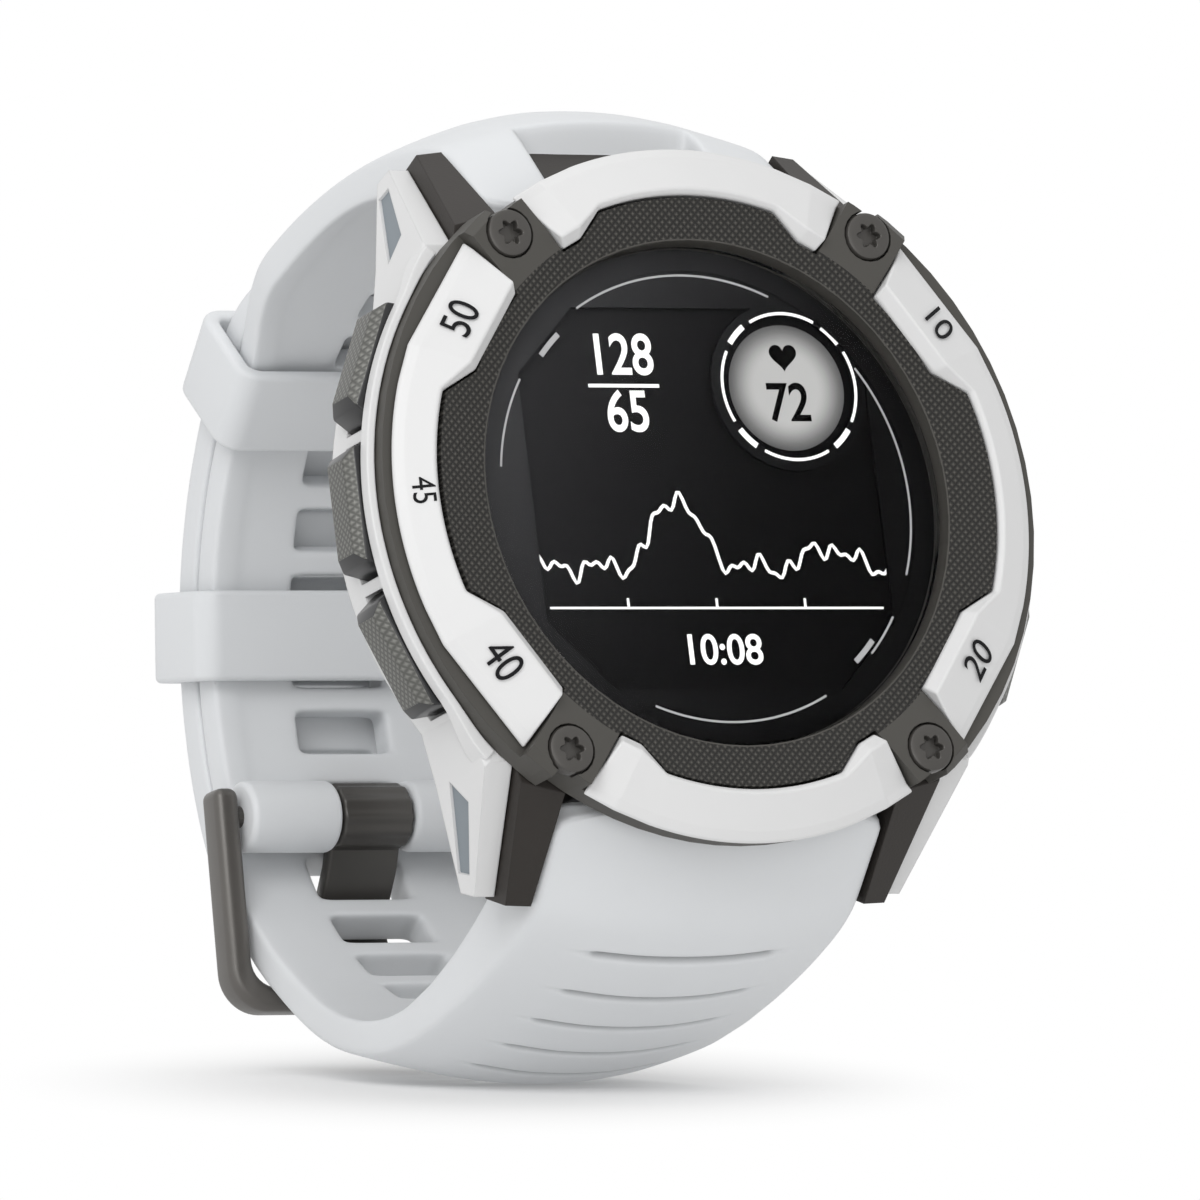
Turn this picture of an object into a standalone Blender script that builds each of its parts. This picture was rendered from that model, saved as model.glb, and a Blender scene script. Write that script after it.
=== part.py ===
"""Rugged golf GPS watch standing on its closed silicone strap.

The watch is drawn in its own dial frame: +X to three o'clock, +Y to twelve
o'clock, +Z out of the dial, with Z = 0 on the flat of the case back. An empty
leans that frame back and sets the finished watch on the ground plane.
"""
import math

import bmesh
import bpy
from mathutils import Matrix, Vector

MM = 0.001
DEG = math.pi / 180.0

# Stance of the finished watch
LEAN = 15.5 * DEG

# Clearances
SEAT = 0.10 * MM
SLIDE = 0.15 * MM
FIT = 0.20 * MM

# Case middle
CASE_RADIUS = 23.2 * MM
CASE_HEIGHT = 7.2 * MM
CAVITY_RADIUS = 19.2 * MM
CAVITY_HEIGHT = 3.6 * MM
CHAMBER_RADIUS = 18.0 * MM
SHELF_RADIUS = 13.0 * MM
SHELF_THICK = 0.5 * MM
SHELF_DROP = 0.3 * MM
STRAP_FLAT = 20.4 * MM

# Case back
BACK_RADIUS = 22.6 * MM
BACK_RIM = 1.2 * MM
BACK_PLUG = 0.5 * MM
BACK_BOSS_RADIUS = 11.2 * MM
BACK_BOSS_RISE = 0.8 * MM
BACK_GASKET = 0.4 * MM
BACK_GASKET_WIDTH = 0.7 * MM
BACK_SCREW_CIRCLE = 21.1 * MM
BACK_SCREW_HEAD = 0.95 * MM
BACK_SCREW_SHANK = 0.5 * MM
BACK_SCREW_LENGTH = 3.6 * MM
SENSOR_RADIUS = 8.5 * MM
SENSOR_FLANGE = 0.9 * MM
SENSOR_PROUD = 0.4 * MM
SENSOR_BOARD = 0.5 * MM
PORT_WIDTH = 8.0 * MM
PORT_HEIGHT = 3.6 * MM
PORT_Y = -15.2 * MM
PORT_PIN = 0.35 * MM
PORT_PIN_PITCH = 1.5 * MM

# Lens, mask and display
LENS_RADIUS = 18.1 * MM
LENS_THICK = 0.95 * MM
LENS_RECESS = 0.7 * MM
LENS_LEDGE = 1.0 * MM
LENS_LEDGE_HEIGHT = 0.8 * MM
LENS_GASKET = 0.25 * MM
MASK_THICK = 0.3 * MM
DISPLAY_THICK = 1.0 * MM
DISPLAY_CORNER_LOW = 33.0 * DEG
DISPLAY_CORNER_HIGH = 57.0 * DEG
WINDOW_MARGIN = 0.5 * MM
SUBDIAL_X = 7.6 * MM
SUBDIAL_Y = 8.1 * MM
SUBDIAL_RADIUS = 5.2 * MM
SUBDIAL_COLLAR = 0.9 * MM

# Bezel ring, caps and their screws
BEZEL_RADIUS = 25.0 * MM
SKIRT_STEP = 0.6 * MM
SKIRT_END = 24.7 * MM
SKIRT_HEIGHT = 1.8 * MM
DISH_RISE = 0.4 * MM
CAP_RISE = 1.25 * MM
CAP_NARROW = 20.1 * MM
CAP_WIDE_SIDE = 22.0 * MM
CAP_WIDE_END = 21.4 * MM
CAP_JOG_INNER = 19.0 * DEG
CAP_JOG_OUTER = 25.5 * DEG
SCREW_X = 14.2 * MM
SCREW_Y = 18.5 * MM
SCREW_HEAD = 1.7 * MM
SCREW_HEAD_HEIGHT = 1.0 * MM
SCREW_SHANK = 0.7 * MM
SCREW_LENGTH = 7.0 * MM
PAD_HALF = 2.7 * MM

# Side guards
GUARD_THICK = 2.0 * MM
GUARD_BOTTOM = 2.6 * MM
GUARD_SPAN = 15.0 * MM
GUARD_FOOT = -1.2 * MM
WING_SETBACK = 1.6 * MM
WING_THICK = 1.5 * MM
WING_TRIM = 0.5 * MM
WING_ROOT_X = 19.2 * MM
WING_ROOT_Y = 18.6 * MM
POCKET_DEPTH = 0.8 * MM

# Lugs and their bars
LUG_ROOT_X = 17.0 * MM
LUG_ROOT_Y = 18.0 * MM
LUG_THICK = 1.8 * MM
LUG_FOOT = -1.0 * MM
LUG_SLOPE_Y = 20.8 * MM
LUG_TIP_Y = 27.2 * MM
LUG_TIP_Z = 2.0 * MM
LUG_SLANT = 10.0 * DEG
BAR_Y = 22.4 * MM
BAR_Z = 2.2 * MM
BAR_RADIUS = 0.9 * MM
BAR_REACH = 1.9 * MM

# Buttons
BUTTON_PITCH = 24.0 * DEG
BUTTON_Z = 6.7 * MM
BUTTON_LENGTH = 9.4 * MM
BUTTON_HEIGHT = 3.7 * MM
BUTTON_PROUD = 1.6 * MM
BUTTON_CHAMFER = 0.65 * MM
BUTTON_RAKE = 0.7 * MM
BUTTON_TRAVEL = 0.7 * MM
STEM_RADIUS = 0.8 * MM
CLIP_RADIUS = 1.2 * MM
CLIP_THICK = 0.4 * MM
SEAL_TUBE = 0.28 * MM
SWITCH_DEPTH = 2.4 * MM
SWITCH_WIDTH = 3.2 * MM
SWITCH_NOSE = 0.4 * MM

# Inner pieces
BOARD_THICK = 0.8 * MM
BATTERY_X = 25.0 * MM
BATTERY_Y = 23.0 * MM
BATTERY_THICK = 2.4 * MM
MOTOR_RADIUS = 4.0 * MM
MOTOR_HEIGHT = 2.2 * MM
ANTENNA_THICK = 0.9 * MM
ANTENNA_SPAN = 64.0 * DEG
SHIELD_X = 12.0 * MM
SHIELD_Y = 9.0 * MM
SHIELD_HEIGHT = 1.5 * MM

# Torch at the twelve o'clock end
TORCH_HALF = 6.4 * MM
TORCH_SUNK = 0.5 * MM
TORCH_PLATE = 1.3 * MM
TORCH_LENGTH = 10.5 * MM
TORCH_FLOOR = 4.9 * MM
TORCH_WINDOW_X = 5.0 * MM
TORCH_WINDOW_Y = 2.0 * MM
TORCH_WINDOW_THICK = 0.7 * MM
TORCH_LED = 0.8 * MM

# Strap loop: the back of the loop is a true arc about one centre
LOOP_Y = -1.6 * MM
LOOP_DEPTH = 31.2 * MM
LOOP_INNER = 27.9 * MM
STRAP_WIDTH = 26.0 * MM
STRAP_TAIL_WIDTH = 20.4 * MM
STRAP_UPPER_CROWN = 3.0 * MM
STRAP_LOWER_CROWN = 2.4 * MM
STRAP_BOW = 0.6
STRAP_TAIL_CROWN = 0.3 * MM
STRAP_UPPER_THICK = 2.8 * MM
STRAP_LOWER_THICK = 2.6 * MM
STRAP_LAYER_GAP = 0.3 * MM
TAIL_TIP_ANGLE = 72.0 * DEG
SLOT_LENGTH = 7.2 * MM
SLOT_WIDTH = 3.2 * MM
SLOT_PITCH = 5.1 * MM
UPPER_SLOT_FIRST = -1.7 * DEG
UPPER_SLOTS = 6
TONGUE_SLOT_ANGLE = -22.9 * DEG
TONGUE_SLOT_DRAW = 0.8 * MM
LOWER_SLOTS_BEFORE = 5
LOWER_SLOTS_AFTER = 8
RIB_LENGTH = 16.0 * MM
RIB_WIDTH = 0.8 * MM
RIB_DEPTH = 0.5 * MM
RIB_PITCH = 4.7 * MM
RIB_START = 3.6 * MM
RIBS = 5

# Keepers
KEEPER_LENGTH = 6.5 * MM
KEEPER_WALL = 1.2 * MM
KEEPER_UPPER_ANGLE = 49.0 * DEG
KEEPER_LOWER_ANGLE = 12.6 * DEG

# Buckle
BUCKLE_ANGLE = -16.0 * DEG
BUCKLE_RADIUS = 27.4 * MM
KNUCKLE_RADIUS = 2.6 * MM
BUCKLE_BAR_RADIUS = 0.8 * MM
FRAME_REACH = 13.4 * MM
FRAME_ARM = 1.8 * MM
FRAME_THICK = 2.5 * MM
FRAME_CANT = 19.7 * DEG
TONGUE_WIDTH = 5.6 * MM
TONGUE_THICK = 1.2 * MM
TONGUE_LEAN = 27.0 * DEG

# Quick-release latches under the strap ends
LATCH_WIDTH = 9.0 * MM
LATCH_LENGTH = 3.0 * MM
LATCH_THICK = 1.1 * MM
LATCH_TRAVEL = 1.2 * MM

# Heights that follow from the stack
CASE_BOTTOM = BACK_RIM + BACK_GASKET + 2 * SEAT
CASE_TOP = CASE_BOTTOM + CASE_HEIGHT
STEP_Z = CASE_BOTTOM + CAVITY_HEIGHT
SHELF_TOP = CASE_TOP - SHELF_DROP
RING_BOTTOM = CASE_TOP + SEAT
SKIRT_TOP = RING_BOTTOM + SKIRT_HEIGHT
LEDGE_TOP = RING_BOTTOM + LENS_LEDGE_HEIGHT
GASKET_TOP = LEDGE_TOP + SEAT + LENS_GASKET
LENS_BOTTOM = GASKET_TOP + SEAT
LENS_TOP = LENS_BOTTOM + LENS_THICK
RING_TOP = LENS_TOP + LENS_RECESS
PAD_Z = RING_TOP + DISH_RISE
CAP_TOP = RING_TOP + CAP_RISE
LOOP_Z = RING_TOP - LOOP_DEPTH

# Radii and angles that follow from the fits
LEDGE_RADIUS = LENS_RADIUS - LENS_LEDGE
SKIRT_RADIUS = BEZEL_RADIUS + SKIRT_STEP
GUARD_INNER = CASE_RADIUS + FIT
GUARD_OUTER = GUARD_INNER + GUARD_THICK
LUG_INNER = STRAP_WIDTH / 2 + FIT
LUG_OUTER = LUG_INNER + LUG_THICK
SCREW_ANGLE = math.atan2(SCREW_Y, SCREW_X)
SWITCH_FACE = CHAMBER_RADIUS - CLIP_THICK - BUTTON_TRAVEL - SWITCH_NOSE - 2 * SLIDE
STEM_END = CHAMBER_RADIUS - CLIP_THICK - SLIDE
UPPER_OUTER = LOOP_INNER + STRAP_UPPER_THICK
TAIL_INNER = UPPER_OUTER + STRAP_LAYER_GAP
TAIL_OUTER = TAIL_INNER + STRAP_LOWER_THICK
TAIL_HALF = STRAP_TAIL_WIDTH / 2

WHITE = (0.80, 0.81, 0.82)
DARK = (0.055, 0.054, 0.052)
COAL = (0.018, 0.018, 0.019)
GREY = (0.19, 0.20, 0.20)
STRAP = (0.62, 0.64, 0.66)

for stale in list(bpy.data.objects):
    bpy.data.objects.remove(stale, do_unlink=True)

PARTS = bpy.data.collections.new("golf_gps_watch")
CUTTERS = bpy.data.collections.new("golf_gps_watch_cutters")
bpy.context.scene.collection.children.link(PARTS)
bpy.context.scene.collection.children.link(CUTTERS)

WATCH = bpy.data.objects.new("watch_stance", None)
WATCH.rotation_euler = (math.pi / 2 - LEAN, 0.0, 0.0)
PARTS.objects.link(WATCH)

SIDEWAYS = Matrix(((0, 0, 1, 0), (1, 0, 0, 0), (0, 1, 0, 0), (0, 0, 0, 1)))
MATERIALS = {}


def material(name, colour, roughness, metallic=0.0):
    """Principled material shared by the pieces of one finish."""
    if name not in MATERIALS:
        made = bpy.data.materials.new(name)
        made.use_nodes = True
        shader = made.node_tree.nodes["Principled BSDF"]
        shader.inputs["Base Color"].default_value = (*colour, 1.0)
        shader.inputs["Roughness"].default_value = roughness
        shader.inputs["Metallic"].default_value = metallic
        MATERIALS[name] = made
    return MATERIALS[name]


def tidy(mesh, matrix=None):
    """Weld a mesh, point its faces outward and move it by a matrix."""
    bm = bmesh.new()
    bm.from_mesh(mesh)
    bmesh.ops.remove_doubles(bm, verts=bm.verts, dist=0.001 * MM)
    if matrix is not None:
        bmesh.ops.transform(bm, matrix=matrix, verts=bm.verts)
    bmesh.ops.recalc_face_normals(bm, faces=bm.faces)
    bm.to_mesh(mesh)
    bm.free()
    return mesh


def place(name, mesh, finish, location=(0, 0, 0), rotation=(0, 0, 0), parent=None):
    """Add a named piece of the watch."""
    obj = bpy.data.objects.new(name, mesh)
    PARTS.objects.link(obj)
    obj.parent = parent or WATCH
    obj.location = location
    obj.rotation_euler = rotation
    mesh.materials.append(finish)
    mesh.shade_smooth()
    mesh.set_sharp_from_angle(angle=32 * DEG)
    return obj


def cutter(name, mesh, location=(0, 0, 0), rotation=(0, 0, 0), parent=None):
    """Add a shape that cuts, joins or trims pieces and is not one itself."""
    obj = bpy.data.objects.new(name, mesh)
    CUTTERS.objects.link(obj)
    obj.parent = parent or WATCH
    obj.location = location
    obj.rotation_euler = rotation
    obj.hide_render = True
    obj.display_type = "WIRE"
    return obj


def combine(obj, other, operation):
    """Boolean between a piece and a cutter."""
    modifier = obj.modifiers.new(operation.lower(), "BOOLEAN")
    modifier.operation = operation
    modifier.solver = "EXACT"
    modifier.object = other


def ease(obj, width, limit=50 * DEG, segments=1):
    """Bevel the sharp edges of a piece."""
    modifier = obj.modifiers.new("ease", "BEVEL")
    modifier.width = width
    modifier.segments = segments
    modifier.limit_method = "ANGLE"
    modifier.angle_limit = limit


def arc(radius, start, end, count, centre=(0.0, 0.0)):
    """Points of a circular arc, both ends included."""
    points = []
    for i in range(count + 1):
        angle = start + (end - start) * i / count
        points.append((centre[0] + radius * math.cos(angle), centre[1] + radius * math.sin(angle)))
    return points


def rounded(half_x, half_y, radius, count=4, centre=(0.0, 0.0)):
    """Outline of a rectangle with round corners."""
    points = []
    for i, (sx, sy) in enumerate(((1, 1), (-1, 1), (-1, -1), (1, -1))):
        middle = (centre[0] + sx * (half_x - radius), centre[1] + sy * (half_y - radius))
        points += arc(radius, i * math.pi / 2, (i + 1) * math.pi / 2, count, middle)
    return points


def prism(name, loops, low, high, matrix=None):
    """Flat outline, with any holes, given a thickness from low to high."""
    curve = bpy.data.curves.new(name, "CURVE")
    curve.dimensions = "2D"
    curve.fill_mode = "BOTH"
    curve.extrude = (high - low) / 2
    for loop in loops:
        spline = curve.splines.new("POLY")
        spline.points.add(len(loop) - 1)
        for point, (x, y) in zip(spline.points, loop):
            point.co = (x, y, 0.0, 1.0)
        spline.use_cyclic_u = True
    holder = bpy.data.objects.new(name, curve)
    PARTS.objects.link(holder)
    graph = bpy.context.evaluated_depsgraph_get()
    mesh = bpy.data.meshes.new_from_object(holder.evaluated_get(graph))
    bpy.data.objects.remove(holder)
    lift = Matrix.Translation((0, 0, (low + high) / 2))
    return tidy(mesh, lift if matrix is None else matrix @ lift)


def turned(name, profile, steps):
    """Closed (radius, z) profile turned about Z with a Screw modifier."""
    area = 0.0
    for (r0, z0), (r1, z1) in zip(profile, profile[1:] + profile[:1]):
        area += r0 * z1 - r1 * z0
    if area > 0:
        profile = profile[::-1]
    solid = min(r for r, _ in profile) < 0.001 * MM
    count = len(profile)
    edges = [(i, (i + 1) % count) for i in range(count)]
    if solid:
        start = next(i for i in range(count) if profile[i - 1][0] < SEAT / 9 and profile[i][0] < SEAT / 9)
        profile = profile[start:] + profile[:start]
        edges = edges[:-1]
    mesh = bpy.data.meshes.new(name)
    mesh.from_pydata([(r, 0.0, z) for r, z in profile], edges, [])
    holder = bpy.data.objects.new(name, mesh)
    PARTS.objects.link(holder)
    screw = holder.modifiers.new("turn", "SCREW")
    screw.steps = steps
    screw.render_steps = steps
    screw.use_merge_vertices = True
    screw.merge_threshold = 0.001 * MM
    graph = bpy.context.evaluated_depsgraph_get()
    made = bpy.data.meshes.new_from_object(holder.evaluated_get(graph))
    bpy.data.objects.remove(holder)
    return tidy(made)


def block(name, low, high, matrix=None):
    """Box between two corners."""
    bm = bmesh.new()
    bmesh.ops.create_cube(bm, size=1.0)
    size = Vector(high) - Vector(low)
    middle = (Vector(high) + Vector(low)) / 2
    bmesh.ops.scale(bm, vec=size, verts=bm.verts)
    bmesh.ops.translate(bm, vec=middle, verts=bm.verts)
    if matrix is not None:
        bmesh.ops.transform(bm, matrix=matrix, verts=bm.verts)
    mesh = bpy.data.meshes.new(name)
    bm.to_mesh(mesh)
    bm.free()
    return mesh


def rod(name, radius, start, end, sides=16, tip=None):
    """Cylinder, or cone with a tip radius, between two points."""
    start = Vector(start)
    end = Vector(end)
    axis = end - start
    bm = bmesh.new()
    bmesh.ops.create_cone(bm, cap_ends=True, segments=sides, radius1=radius,
                          radius2=radius if tip is None else tip, depth=axis.length)
    turn = axis.to_track_quat("Z", "Y").to_matrix().to_4x4()
    bmesh.ops.transform(bm, matrix=Matrix.Translation((start + end) / 2) @ turn, verts=bm.verts)
    mesh = bpy.data.meshes.new(name)
    bm.to_mesh(mesh)
    bm.free()
    return mesh


def gather(name, meshes):
    """One mesh from several separate cutter shapes."""
    bm = bmesh.new()
    for mesh in meshes:
        bm.from_mesh(mesh)
    made = bpy.data.meshes.new(name)
    bm.to_mesh(made)
    bm.free()
    return made


def loft(name, rings):
    """Skin over closed rings of equal count, with flat ends."""
    bm = bmesh.new()
    rows = [[bm.verts.new(point) for point in ring] for ring in rings]
    count = len(rows[0])
    for near, far in zip(rows, rows[1:]):
        for i in range(count):
            j = (i + 1) % count
            bm.faces.new((near[i], near[j], far[j], far[i]))
    bm.faces.new(rows[0][::-1])
    bm.faces.new(rows[-1])
    bmesh.ops.triangulate(bm, faces=bm.faces)
    mesh = bpy.data.meshes.new(name)
    bm.to_mesh(mesh)
    bm.free()
    return tidy(mesh)


def frame_at(origin, x_axis, y_axis):
    """Matrix of a local frame from its origin and two axes."""
    x_axis = Vector(x_axis).normalized()
    z_axis = x_axis.cross(Vector(y_axis)).normalized()
    y_axis = z_axis.cross(x_axis)
    turn = Matrix((x_axis, y_axis, z_axis)).transposed().to_4x4()
    return Matrix.Translation(Vector(origin)) @ turn


WHITE_SHELL = material("white_polymer", WHITE, 0.42)
DARK_SHELL = material("dark_polymer", DARK, 0.55)
BUTTON_SHELL = material("button_metal", GREY, 0.45, 0.6)
STEEL = material("dark_steel", (0.09, 0.09, 0.09), 0.38, 0.8)
SILICONE = material("pale_silicone", STRAP, 0.62)
RUBBER = material("black_rubber", COAL, 0.8)
GLASS = material("lens_glass", (0.02, 0.022, 0.025), 0.06)
PANEL = material("display_glass", (0.03, 0.032, 0.034), 0.3)
BOARD = material("circuit_board", (0.02, 0.10, 0.05), 0.5)
CELL = material("cell_can", (0.55, 0.55, 0.57), 0.35, 0.7)
TORCH_CLEAR = material("torch_clear", (0.6, 0.6, 0.58), 0.15)


def strap_pocket(side):
    """Room between two lugs for a strap end, side +1 at twelve o'clock."""
    low = (-LUG_INNER, side * STRAP_FLAT, -8 * MM)
    high = (LUG_INNER, side * (LUG_TIP_Y + 4 * MM), CASE_TOP + 1 * MM)
    lows = [min(a, b) for a, b in zip(low, high)]
    highs = [max(a, b) for a, b in zip(low, high)]
    return cutter("cut_strap_pocket_%+d" % side, block("strap_pocket", lows, highs))


SLOPE_RUN = Vector((LUG_TIP_Y - LUG_SLOPE_Y, LUG_TIP_Z - CASE_TOP + SEAT)).normalized()
SLOPE_OUT = Vector((-SLOPE_RUN.y, SLOPE_RUN.x))


def slope_z(y):
    """Height of the lugs' sloping front face above a distance from the centre."""
    return CASE_TOP - SEAT + (y - LUG_SLOPE_Y) * SLOPE_RUN.y / SLOPE_RUN.x


POCKETS = {side: strap_pocket(side) for side in (1, -1)}
CORNERS = {"upper_right": (1, 1), "upper_left": (-1, 1), "lower_left": (-1, -1), "lower_right": (1, -1)}
BUTTONS = {
    "button_left_upper": math.pi - BUTTON_PITCH,
    "button_left_middle": math.pi,
    "button_left_lower": math.pi + BUTTON_PITCH,
    "button_right_upper": BUTTON_PITCH,
    "button_right_lower": -BUTTON_PITCH,
}


def build_back():
    """Case back with its gasket, screws, optical sensor and charging port."""
    hole = SENSOR_RADIUS + FIT
    seat = SENSOR_RADIUS + SENSOR_FLANGE + FIT
    plug = CAVITY_RADIUS - FIT
    top = BACK_RIM + BACK_PLUG
    shoulder = top - SENSOR_BOARD - SENSOR_FLANGE / 2 - 2 * SEAT
    chamfer = 0.4 * MM
    profile = [
        (seat, top), (plug, top), (plug, BACK_RIM), (BACK_RADIUS, BACK_RIM), (BACK_RADIUS, chamfer),
        (BACK_RADIUS - chamfer, 0.0), (BACK_BOSS_RADIUS + BACK_BOSS_RISE, 0.0),
        (BACK_BOSS_RADIUS, -BACK_BOSS_RISE), (hole, -BACK_BOSS_RISE), (hole, shoulder), (seat, shoulder),
    ]
    back = place("back_cover", turned("back_cover", profile, 48), DARK_SHELL)
    for pocket in POCKETS.values():
        combine(back, pocket, "DIFFERENCE")

    port_loop = rounded(PORT_WIDTH / 2, PORT_HEIGHT / 2, 1.2 * MM, 4, (0.0, PORT_Y))
    wide_loop = rounded(PORT_WIDTH / 2 + FIT, PORT_HEIGHT / 2 + FIT, 1.2 * MM + FIT, 4, (0.0, PORT_Y))
    combine(back, cutter("cut_port", prism("port_hole", [wide_loop], -1 * MM, top + 1 * MM)), "DIFFERENCE")
    port = place("charging_port", prism("charging_port", [port_loop], SEAT, top), RUBBER)
    well_loop = rounded(PORT_WIDTH / 2 - 0.6 * MM, PORT_HEIGHT / 2 - 0.6 * MM, 0.7 * MM, 4, (0.0, PORT_Y))
    combine(port, cutter("cut_port_well", prism("port_well", [well_loop], -1 * MM, top * 0.6)), "DIFFERENCE")
    pins = []
    for i in range(4):
        x = (i - 1.5) * PORT_PIN_PITCH
        pins.append(rod("pin", PORT_PIN, (x, PORT_Y, top * 0.8), (x, PORT_Y, top * 0.25), 8))
    combine(port, cutter("join_port_pins", gather("port_pins", pins)), "UNION")

    rim_low = BACK_RIM + SEAT
    gasket_in = CAVITY_RADIUS + FIT
    gasket_out = gasket_in + BACK_GASKET_WIDTH
    ring = [(gasket_in, rim_low), (gasket_out, rim_low), (gasket_out, rim_low + BACK_GASKET),
            (gasket_in, rim_low + BACK_GASKET)]
    place("back_gasket", turned("back_gasket", ring, 36), RUBBER)

    board_low = top - SENSOR_BOARD
    flange = SENSOR_RADIUS + SENSOR_FLANGE
    flange_top = shoulder + SEAT + SENSOR_FLANGE / 2
    face = -BACK_BOSS_RISE - SENSOR_PROUD
    window = [(0, flange_top), (flange, flange_top), (flange, shoulder + SEAT),
              (SENSOR_RADIUS, shoulder + SEAT), (SENSOR_RADIUS, face + SENSOR_PROUD),
              (SENSOR_RADIUS - SENSOR_PROUD, face), (0, face)]
    place("sensor_window", turned("sensor_window", window, 36), GLASS)
    place("sensor_board", rod("sensor_board", flange, (0, 0, board_low), (0, 0, top), 32), BOARD)

    head_low = 0.5 * MM
    for name, (sx, sy) in CORNERS.items():
        x = sx * BACK_SCREW_CIRCLE * math.sqrt(0.5)
        y = sy * BACK_SCREW_CIRCLE * math.sqrt(0.5)
        end = CASE_BOTTOM + BACK_SCREW_LENGTH - 1 * MM
        screw = place("back_screw_" + name, rod("back_screw", BACK_SCREW_HEAD, (0, 0, 0),
                      (0, 0, head_low), 12), STEEL, (x, y, SEAT))
        shank = rod("shank", BACK_SCREW_SHANK, (x, y, head_low / 2), (x, y, end), 12)
        combine(screw, cutter("join_back_shank_" + name, shank), "UNION")
        socket = rod("socket", BACK_SCREW_HEAD * 0.5, (x, y, -1 * MM), (x, y, SEAT + head_low * 0.6), 6)
        combine(screw, cutter("cut_back_socket_" + name, socket), "DIFFERENCE")
        sink = rod("sink", BACK_SCREW_HEAD + SLIDE, (x, y, -1 * MM), (x, y, SEAT + head_low + SEAT), 12)
        bore = rod("bore", BACK_SCREW_SHANK + SLIDE, (x, y, -1 * MM), (x, y, end + 2 * SEAT), 12)
        combine(back, cutter("cut_back_sink_" + name, sink), "DIFFERENCE")
        hole_cutter = cutter("cut_back_bore_" + name, bore)
        combine(back, hole_cutter, "DIFFERENCE")
        combine(bpy.data.objects["middle_case"], hole_cutter, "DIFFERENCE")


def lug_outline(side):
    """Side view of one lug, in (y, z)."""
    foot = CASE_BOTTOM + SEAT
    root = CASE_RADIUS * 2 / 3
    points = [(root, CASE_TOP - SEAT), (LUG_SLOPE_Y, CASE_TOP - SEAT), (LUG_TIP_Y, LUG_TIP_Z),
              (LUG_TIP_Y - 1.2 * MM, LUG_FOOT + 0.4 * MM), (LUG_TIP_Y - 2.6 * MM, LUG_FOOT),
              (STRAP_FLAT + 1.6 * MM, LUG_FOOT + 1.2 * MM), (STRAP_FLAT, foot), (root, foot)]
    return [(side * y, z) for y, z in points]


def build_lug(name, sx, sy):
    """Lug with a plan taper and a front face that falls away outward."""
    shape = prism("lug", [lug_outline(sy)], LUG_INNER, LUG_ROOT_X + 1 * MM, SIDEWAYS)
    if sx < 0:
        shape.transform(Matrix.Diagonal((-1, 1, 1, 1)))
        shape.flip_normals()
    piece = cutter("join_lug_" + name, shape)
    clear = LUG_TIP_Y + 3 * MM
    root = CASE_RADIUS * 2 / 3
    taper = [(LUG_ROOT_X, LUG_ROOT_Y), (LUG_OUTER, LUG_TIP_Y), (LUG_OUTER, clear), (clear, clear),
             (clear, root - 1 * MM), (math.sqrt(CASE_RADIUS ** 2 - root ** 2), root - 1 * MM)]
    taper = [(sx * x, sy * y) for x, y in taper]
    wedge = prism("lug_taper", [taper], LUG_FOOT - 1 * MM, CASE_TOP + 1 * MM)
    combine(piece, cutter("cut_lug_taper_" + name, wedge), "DIFFERENCE")
    run = Vector((0, sy * SLOPE_RUN.x, SLOPE_RUN.y))
    rise = Vector((0, sy * SLOPE_OUT.x, SLOPE_OUT.y))
    across = Vector((sx, 0, 0)) * math.cos(LUG_SLANT) - rise * math.sin(LUG_SLANT)
    seat = frame_at((sx * LUG_INNER, sy * LUG_SLOPE_Y, CASE_TOP - SEAT), across, run)
    low, high = (0, 9 * MM) if sx * sy > 0 else (-9 * MM, 0)
    face = block("lug_face", (-2 * MM, -9 * MM, low), (9 * MM, 14 * MM, high), seat)
    combine(piece, cutter("cut_lug_face_" + name, face), "DIFFERENCE")
    return piece


def torch_outline():
    """Side view of the torch block, sunk a little below the strap's slope."""
    start = Vector((LUG_SLOPE_Y, CASE_TOP - SEAT)) - SLOPE_OUT * TORCH_SUNK
    end = start + SLOPE_RUN * TORCH_LENGTH
    under = end - SLOPE_OUT * TORCH_PLATE
    knee = under - SLOPE_RUN * ((TORCH_FLOOR - under.y) / -SLOPE_RUN.y)
    root = STRAP_FLAT - 1 * MM
    return [Vector((root, TORCH_FLOOR)), knee, under, end, start, Vector((root, CASE_TOP - SEAT))]


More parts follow.
